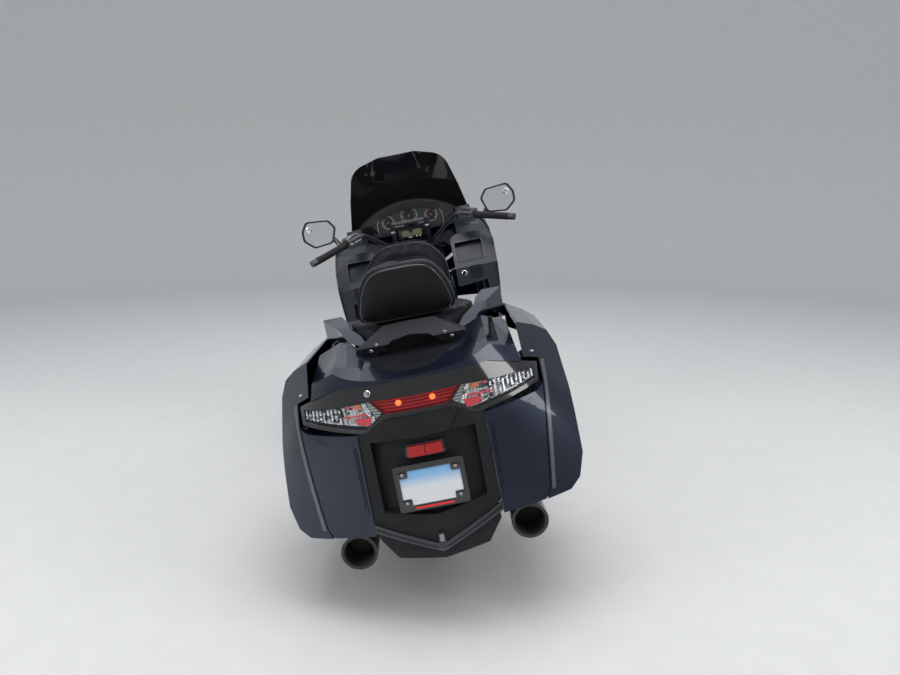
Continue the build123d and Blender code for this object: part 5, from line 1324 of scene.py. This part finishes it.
    def switches(self) -> None:
        """Rocker and push switches on the rider's side of each control box."""
        start, end = Vector(self.grip_near), Vector(self.grip_far)
        run = (end - start).normalized()
        toward = Vector((-0.25, -0.93, 0.32))
        toward = (toward - run * toward.dot(run)).normalized()
        up = run.cross(toward) * -1
        faces, buttons = Shape(), Shape()
        base = start + (end - start) * 0.25 + toward * 28.0
        faces.prism(rect(34, 22), tuple(base), tuple(run), tuple(up), 3, 1.5)
        for across, rise, w, h in (
            (-20, 10, 9, 6), (0, 10, 7, 7), (18, 9, 8, 5), (-16, -10, 12, 5), (12, -10, 9, 8)
        ):
            buttons.prism([(across - w, rise - h), (across + w, rise - h), (across + w, rise + h), (across - w, rise + h)],
                          tuple(base + toward * 5), tuple(run), tuple(up), 5, 1.6)
        left = Shape()
        left.points, left.faces = [Vector((-p.x, p.y, p.z)) for p in faces.points], list(faces.faces)
        left.piece("switch_face_left", Look.SILVER, self.steered, "steering", "switch_black")
        faces.piece("switch_face_right", Look.SWITCH, self.steered, "steering", "switch_black")
        buttons.mirror().piece("switch_buttons", Look.SATIN_BLACK, self.steered, "steering", "switch_black")

    def build(self) -> None:
        """Makes the cockpit's details."""
        self.dial_faces()
        self.console()
        self.brow_band()
        self.posts()
        self.inner_panels()
        self.ribbed_grips()
        self.switches()
        spots = Shape()
        spots.lathe((528, 1216.4, 1241), BACKWARD, [(0, 15), (1.6, 15), (2.6, 13), (3.2, 7), (3.4, 1)], 32)
        spots.mirror().piece("blind_spot_mirrors", Look.MIRROR, self.fixed, "chassis", "mirror_glass")


@dataclass
class TailDetail:
    """The tail's lamp insides, painted highlights on the lid seams, lock, plate details, carrier bolts and
    muffler ends.
    """

    stance: Stance
    turn: float = math.radians(35.0)
    # The tail's form between two heights: its round's radius and the place of its middle at each
    low_z: float = 200.0
    high_z: float = 850.0
    low_radius: float = 939.0
    high_radius: float = 316.0
    low_middle: float = 318.0
    high_middle: float = -213.0
    plate_place: Flat = (-586.0, 464.0)
    plate_tilt: float = math.radians(6.0)
    bar_rise: float = -59.0
    muffler: Flat = (262.0, 268.0)

    def on_skin(self, x: float, z: float, inset: float) -> Vector:
        """The tail's form behind a place seen from behind: round, then flaring straight forward."""
        t = (z - self.low_z) / (self.high_z - self.low_z)
        radius = self.low_radius + (self.high_radius - self.low_radius) * t - inset
        middle = self.low_middle + (self.high_middle - self.low_middle) * t
        end = radius * math.cos(self.turn)
        if abs(x) <= end:
            return Vector((x, middle - math.sqrt(radius**2 - x**2), z))
        return Vector((x, middle - radius * math.sin(self.turn) + (abs(x) - end) / math.tan(self.turn), z))

    def skin_patch(self, outline: Sequence[Flat], inset: float, thick: float, steps: int = 14) -> Shape:
        """A thin patch that follows the tail's form inside a four-cornered outline.

        Args:
            outline: Corners seen from behind: low left, low right, high right, high left.
            inset: How far in it lies.
            thick: Its thickness.
            steps: Divisions each way.

        Returns:
            The shape.
        """
        shape = Shape()
        low_left, low_right, high_right, high_left = (Vector(p) for p in outline)
        fronts, backs = [], []
        for i in range(steps + 1):
            v = i / steps
            left, right = low_left.lerp(high_left, v), low_right.lerp(high_right, v)
            row = [left.lerp(right, k / steps) for k in range(steps + 1)]
            fronts.append([self.on_skin(p.x, p.y, inset) for p in row])
            backs.append([self.on_skin(p.x, p.y, inset + thick) for p in row])
        shape.grid(fronts, around=False).grid(list(reversed(backs)), around=False)
        edge = [
            *fronts[0], *(r[-1] for r in fronts[1:]), *reversed(fronts[-1][:-1]),
            *(r[0] for r in reversed(fronts[1:-1]))
        ]
        edge_back = [
            *backs[0], *(r[-1] for r in backs[1:]), *reversed(backs[-1][:-1]),
            *(r[0] for r in reversed(backs[1:-1]))
        ]
        return shape.grid([edge, edge_back])

    def lamps(self) -> None:
        """The corner lamps' mosaic, ribs and coloured patches, and the brake lamp's rows and bulbs."""
        for name, look, slot, corners, inset in (
            (
                "corner_lamp_mosaic", Look.MOSAIC, "lamp_clear",
                ((152, 648), (358, 666), (360, 690), (148, 716)), 18,
            ),
            (
                "corner_lamp_ribs", Look.RIBBED, "lamp_clear",
                ((104, 682), (124, 668), (149, 718), (138, 719)), 12,
            ),
            (
                "corner_lamp_cells", Look.MOSAIC, "lamp_clear",
                ((125, 668), (138, 658), (162, 716), (150, 718)), 8,
            ),
            (
                "corner_lamp_reds", Look.ROSE, "lamp_red",
                ((143, 652), (184, 657), (189, 673), (136, 677)), 7,
            ),
            (
                "corner_lamp_stripes", Look.ROSE, "lamp_red",
                ((142, 683), (226, 676), (226, 680), (141, 689)), 8,
            ),
            (
                "corner_lamp_ambers", Look.AMBER, "lamp_red",
                ((165, 701), (186, 701), (186, 714), (165, 716)), 7,
            ),
            (
                "corner_lamp_dots", Look.ROSE, "lamp_red",
                ((199, 704), (212, 704), (212, 711), (199, 712)), 8,
            ),
        ):
            self.skin_patch(corners, inset, 3.0, 10).mirror().piece(
                name, look, self.stance, "chassis", slot
            )
        columns = Shape()
        for k in range(11):
            x = 218 + 13.5 * k
            low, high = 658 + 0.075 * (x - 200), 709 - 0.118 * (x - 200)
            columns.join(self.skin_patch(((x, low), (x + 6.5, low), (x + 6.5, high), (x, high)), 9, 9, 3))
        columns.mirror().piece("corner_lamp_columns", Look.MOSAIC, self.stance, "chassis", "lamp_clear")
        self.skin_patch(((-91, 684), (91, 684), (128, 720), (-128, 720)), 16, 4).piece(
            "brake_lamp_rows", Look.RED_ROWS, self.stance, "chassis", "lamp_red"
        )
        bulbs = Shape()
        for x in (-50.0, 50.0):
            seat = self.on_skin(x, 706, 15)
            bulbs.lathe(tuple(seat), BACKWARD, [(0, 7), (3, 9), (7, 8), (10, 5), (11, 1)], 20)
        bulbs.piece("brake_bulbs", Look.BULB, self.stance, "chassis", "lamp_red")

    def lid_seam_highlights(self) -> None:
        """Painted highlights along the lids' seams, as narrow pale bands, and the round caps on the lids'
        tops.
        """
        for name, sign in (("right", 1), ("left", -1)):
            # Painted highlight: a pale band where the rounded edge at each lid's seam catches the light
            band = self.skin_patch(((345, 352), (357, 352), (402, 640), (390, 640)), -1.2, 3.0, 16)
            band.join(self.skin_patch(((390, 640), (402, 640), (408, 700), (395, 700)), -1.2, 3.0, 6))
            if sign < 0:
                band.points = [Vector((-p.x, p.y, p.z)) for p in band.points]
            band.piece(f"lid_seam_highlight_{name}", Look.EDGE, self.stance, f"lid_{name}", "navy_paint")
            skin = skin_of(self.stance, View.ABOVE, f"saddlebag_lid_{name}")
            seat = skin.at((sign * 372, -330))
            cap = Shape().lathe(
                tuple(seat), (0.3 * sign, 0, 1), [(-2, 8), (1.5, 8), (2.2, 6.5), (2.2, 1)], 24
            )
            cap.piece(f"lid_cap_{name}", Look.CHROME, self.stance, f"lid_{name}", "navy_paint")

    def key_lock(self) -> None:
        """The round lock on the black panel above the left lamp."""
        seat = skin_of(self.stance, View.BEHIND, "tail_panel").at((-135, 745))
        ring = Shape().lathe(
            tuple(seat), (0, -1, 0.15), [(-3, 10), (2, 10), (3.2, 8.6), (3.2, 6.6), (1, 6.4), (1, 1)], 28
        )
        ring.piece("tail_lock", Look.CHROME, self.stance, "chassis", "gloss_black")
        slot = Shape().prism(rect(0.9, 4), (seat.x, seat.y - 1.6, seat.z), ACROSS, UPWARD, 2)
        slot.piece("tail_lock_slot", Look.DIAL, self.stance, "chassis", "gloss_black")

    def on_plate(self, x: float, rise: float, out: float) -> Point:
        """A point over the number plate: across, up its face, and off it."""
        (y, z), c, s = self.plate_place, math.cos(self.plate_tilt), math.sin(self.plate_tilt)
        return (x, y - out * c + rise * s, z + out * s + rise * c)

    def plate_details(self) -> None:
        """The plate's rim, bolts, tabs and light bar, the reflector's hood and the bumper's lines."""
        out = tuple(Vector(self.on_plate(0, 0, 1)) - Vector(self.on_plate(0, 0, 0)))
        up = tuple(Vector(self.on_plate(0, 1, 0)) - Vector(self.on_plate(0, 0, 0)))
        rim = rounded(rect(86, 48), 8)
        Shape().tube([self.on_plate(x, z, 2.4) for x, z in dense(rim, 20)], 0.9, 6, True).piece(
            "plate_rim", Look.PLATE, self.stance, "chassis", "plate_white"
        )
        bolts, tabs = Shape(), Shape()
        for x in (-78.0, 78.0):
            for rise in (-42.0, 42.0):
                tab = rounded(rect(15, 11), 6)
                tabs.prism(tab, self.on_plate(x, rise, 5.0), ACROSS, up, 2.4, 1.0)
                bolts.bolt(self.on_plate(x, rise, 5.2), out, 4.6, 2.2)
        bolts.piece("plate_bolts", Look.ZINC, self.stance, "chassis", "disc_steel")
        tabs.piece("plate_tabs", Look.GLOSS_BLACK, self.stance, "chassis", "gloss_black")
        bar = rounded(rect(56, 5), 3)
        Shape().prism(bar, self.on_plate(0, self.bar_rise, 6.5), ACROSS, up, 3.0, 1.0).piece(
            "light_bar", Look.GLOSS_BLACK, self.stance, "chassis", "gloss_black"
        )
        cells = Shape()
        for k in range(14):
            x = -52 + 8 * k
            cells.prism(rect(3.4, 3), self.on_plate(x, self.bar_rise, 8.2), ACROSS, up, 2.0, 0.8)
        cells.piece("light_bar_cells", Look.LED, self.stance, "chassis", "reflector_red")
        hood = rounded([(-60, -20), (60, -20), (58, 20), (-58, 20)], 8)
        skin = skin_of(self.stance, View.BEHIND, "reflectors")
        middle = skin.at((0, 560))
        Shape().prism(hood, (0, middle.y + 10, 560.5), ACROSS, (0, 0.16, 1), 8, 1.5).piece(
            "reflector_hood", Look.GLOSS_BLACK, self.stance, "chassis", "gloss_black"
        )
        skin.plate([(-1.2, 547), (1.2, 547), (1.2, 574), (-1.2, 574)], 0.8, 1.5, 2).piece(
            "reflector_divider", Look.DIAL, self.stance, "chassis", "reflector_red"
        )
        skin = skin_of(self.stance, View.BEHIND, "bumper_trim")
        lines = skin.welt([(185, 364), (13, 290.5)], 1.1, 0.4).join(
            skin.welt([(185, 347), (3, 271.5)], 1.1, 0.4)
        )
        lines.mirror().piece("bumper_lines", Look.DARK_CHROME, self.stance, "chassis", "dark_chrome")
        mark = rounded([(-6.5, 297), (6.5, 297), (6.5, 318), (-6.5, 318)], 3)
        skin.plate(mark, 1.2, 2.5, 3).piece(
            "bumper_centre", Look.SILVER, self.stance, "chassis", "dark_chrome"
        )

    def fasteners(self) -> None:
        """The carrier's bolts, and the clamp bands on the mufflers."""
        carrier = Shape()
        for x, z in ((113.0, 836.0), (134.0, 819.0)):
            carrier.bolt((x, -262.5, z - 2), BACKWARD, 7.0, 5.0)
        carrier.mirror().piece("carrier_bolts", Look.DARK_CHROME, self.stance, "chassis", "satin_black")
        bands = Shape()
        for y in (-300.0, -40.0):
            bands.lathe(
                (self.muffler[0], y, self.muffler[1]), FORWARD,
                [(0, 54.2), (1, 56), (15, 56), (16, 54.2)], 48, False,
            )
        bands.mirror().piece("muffler_bands", Look.DARK_CHROME, self.stance, "chassis", "exhaust_black")

    def build(self) -> None:
        """Makes the tail's details."""
        self.lamps()
        self.lid_seam_highlights()
        self.key_lock()
        self.plate_details()
        self.fasteners()
        bores = Shape().lathe(
            (self.muffler[0], -529, self.muffler[1]), FORWARD,
            [(0, 46.6), (0, 45.4), (86, 45.4), (86, 1)], 40, False,
        )
        bores.mirror().piece("muffler_bores", Look.SOOT, self.stance, "chassis", "exhaust_black")


@dataclass
class FrontDetail:
    """Headlamp insides, filler lid, screen bolts and the boards' rubbers."""

    stance: Stance
    lamp_rounds: tuple[tuple[float, float, float], ...] = ((168.0, 884.0, 34.0), (256.0, 922.0, 23.0))

    @staticmethod
    def ring(middle: Flat, radius: float) -> list[Flat]:
        """A round outline."""
        return [
            (middle[0] + radius * math.cos(t), middle[1] + radius * math.sin(t))
            for t in (math.tau * k / 28 for k in range(28))
        ]

    def headlamps(self) -> None:
        """Dark surrounds, faceted bowls, bulbs and amber strips behind the clear windows."""
        skin = skin_of(self.stance, View.AHEAD, "headlamps")
        surround = [(96, 830), (318, 911), (332, 950), (198, 937), (104, 884)]
        back = skin.plate(surround, -15.0, 2.0)
        back.mirror().piece("headlamp_surrounds", Look.GLOSS_BLACK, self.stance, "chassis", "lamp_clear")
        bowls, bulbs = Shape(), Shape()
        for x, z, radius in self.lamp_rounds:
            bowls.join(skin.plate(self.ring((x, z), radius), -9.0, 4.0, 4))
            bulbs.join(skin.plate(self.ring((x, z), radius * 0.3), -5.5, 3.0, 3))
        bowls.mirror().piece("headlamp_bowls", Look.MOSAIC, self.stance, "chassis", "lamp_clear")
        bulbs.mirror().piece("headlamp_bulbs", Look.CHROME, self.stance, "chassis", "lamp_clear")
        strip = skin.plate([(288, 906), (316, 914), (328, 944), (300, 940)], -9.0, 4.0)
        strip.mirror().piece("headlamp_ambers", Look.AMBER, self.stance, "chassis", "lamp_clear")

    def build(self) -> None:
        """Makes the front's and the middle's details."""
        self.headlamps()
        skin = skin_of(self.stance, View.ABOVE, "tank_cover")
        lid = rounded([(-42, 800), (42, 800), (46, 905), (-46, 905)], 18)
        skin.plate(lid, 1.8, 3.0).piece(
            "filler_lid", Look.SATIN_BLACK, self.stance, "chassis", "navy_paint"
        )
        skin.welt(lid, 1.3, 0.6, True).piece(
            "filler_lid_seam", Look.DIAL, self.stance, "chassis", "navy_paint"
        )
        skin = skin_of(self.stance, View.AHEAD, "windscreen")
        bolts = Shape()
        for x, z in ((70, 1205), (170, 1203), (262, 1198)):
            bolts.lathe(tuple(skin.at((x, z))), (0, 1, 0.4), [(-2, 7), (2, 7), (3.4, 4.5), (3.4, 1)], 20)
        bolts.mirror().piece("screen_bolts", Look.SATIN_BLACK, self.stance, "chassis", "smoke_glass")
        ribs = Shape()
        for k in range(7):
            strip = rounded(rect(42, 4), 3)
            ribs.prism(strip, (284, 243 + 19 * k, 437.5), ACROSS, FORWARD, 4.5, 1.2)
        ribs.mirror().piece("board_rubbers", Look.GRIP, self.stance, "chassis", "footrest_alloy")


@dataclass
class Studio:
    """The pale floor, the soft lamps and the camera."""

    axle: Vector
    camera_from_axle: Point = (-0.0011, -2.413, 0.9372)
    lens: float = 27.04
    yaw: float = math.radians(-0.77)
    pitch: float = math.radians(-11.05)
    floor_reach: float = 8.0
    floor_curve: float = 3.0
    wall_top: float = 7.0

    def floor(self) -> None:
        """A pale round floor that curves up into a wall all round."""
        profile = [(0.01, 0.0), (self.floor_reach, 0.0)]
        for k in range(1, 13):
            turn = math.pi / 2 * k / 12
            profile.append((
                self.floor_reach + self.floor_curve * math.sin(turn),
                self.floor_curve * (1 - math.cos(turn)),
            ))
        profile.append((self.floor_reach + self.floor_curve, self.wall_top))
        sides = 96
        rows = [
            [
                Vector((r * math.cos(t), r * math.sin(t), z - 0.0005))
                for t in (math.tau * k / sides for k in range(sides))
            ]
            for r, z in profile
        ]
        shape = Shape().grid(rows).cap(rows[0])
        mesh = bpy.data.meshes.new("floor")
        mesh.from_pydata(shape.points, [], shape.faces)
        mesh.shade_smooth()
        floor = bpy.data.objects.new("floor", mesh)
        bpy.context.scene.collection.objects.link(floor)
        finish = Finish("floor_pale", (0.62, 0.62, 0.61), 0.75, vary=0.04, grain=0.05, grain_scale=200.0)
        mesh.materials.append(finish.make())

    def lamp(self, name: str, place: Point, target: Point, size: float, power: float) -> None:
        """A square soft lamp aimed at a point."""
        data = bpy.data.lights.new(name, "AREA")
        data.shape = "SQUARE"
        data.size = size
        data.energy = power
        lamp = bpy.data.objects.new(name, data)
        lamp.location = place
        lamp.rotation_mode = "QUATERNION"
        lamp.rotation_quaternion = (Vector(target) - Vector(place)).to_track_quat("-Z", "Y")
        bpy.context.scene.collection.objects.link(lamp)

    def camera(self) -> None:
        """The camera at the photograph's viewpoint."""
        data = bpy.data.cameras.new("camera")
        data.lens = self.lens
        data.sensor_width = 36.0
        camera = bpy.data.objects.new("camera", data)
        camera.location = self.axle + Vector(self.camera_from_axle)
        camera.rotation_euler = (math.pi / 2 + self.pitch, 0.0, self.yaw)
        bpy.context.scene.collection.objects.link(camera)
        bpy.context.scene.camera = camera

    def build(self) -> None:
        """Makes the stage."""
        self.floor()
        self.camera()
        self.lamp("sky_lamp", (0.0, -0.9, 5.6), (0.0, 0.0, 0.4), 4.5, 190.0)
        self.lamp("side_lamp", (-4.6, -3.2, 3.0), (0.0, -0.4, 0.6), 2.6, 90.0)
        self.lamp("right_lamp", (4.8, -2.4, 3.6), (0.0, 0.0, 0.7), 2.6, 90.0)
        world = bpy.data.worlds.new("room")
        bpy.context.scene.world = world
        world.use_nodes = True
        sky = world.node_tree.nodes["Background"]
        sky.inputs["Color"].default_value = (0.8, 0.84, 0.9, 1.0)
        sky.inputs["Strength"].default_value = 0.75
        bpy.context.scene.view_settings.view_transform = "Standard"


def main() -> None:
    """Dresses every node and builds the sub-assemblies in order."""
    logging.basicConfig(level=logging.INFO, format="%(name)s: %(message)s")
    machine = Machine()
    fixed, steered = machine.fixed(), machine.steered()
    Studio(machine.joint("rear_wheel_spin")[0]).build()
    for look, names in NODE_LOOKS.items():
        for name in names:
            node = FRAME["nodes"][name]
            node.data.materials.clear()
            node.data.materials.append(look.material())
    for part in (
        Upholstery(fixed),
        RollingGear(fixed, steered),
        Cockpit(fixed, steered),
        TailDetail(fixed),
        FrontDetail(fixed),
    ):
        part.build()
        LOG.info("built %s", type(part).__name__)


if __name__ == "__main__":
    main()
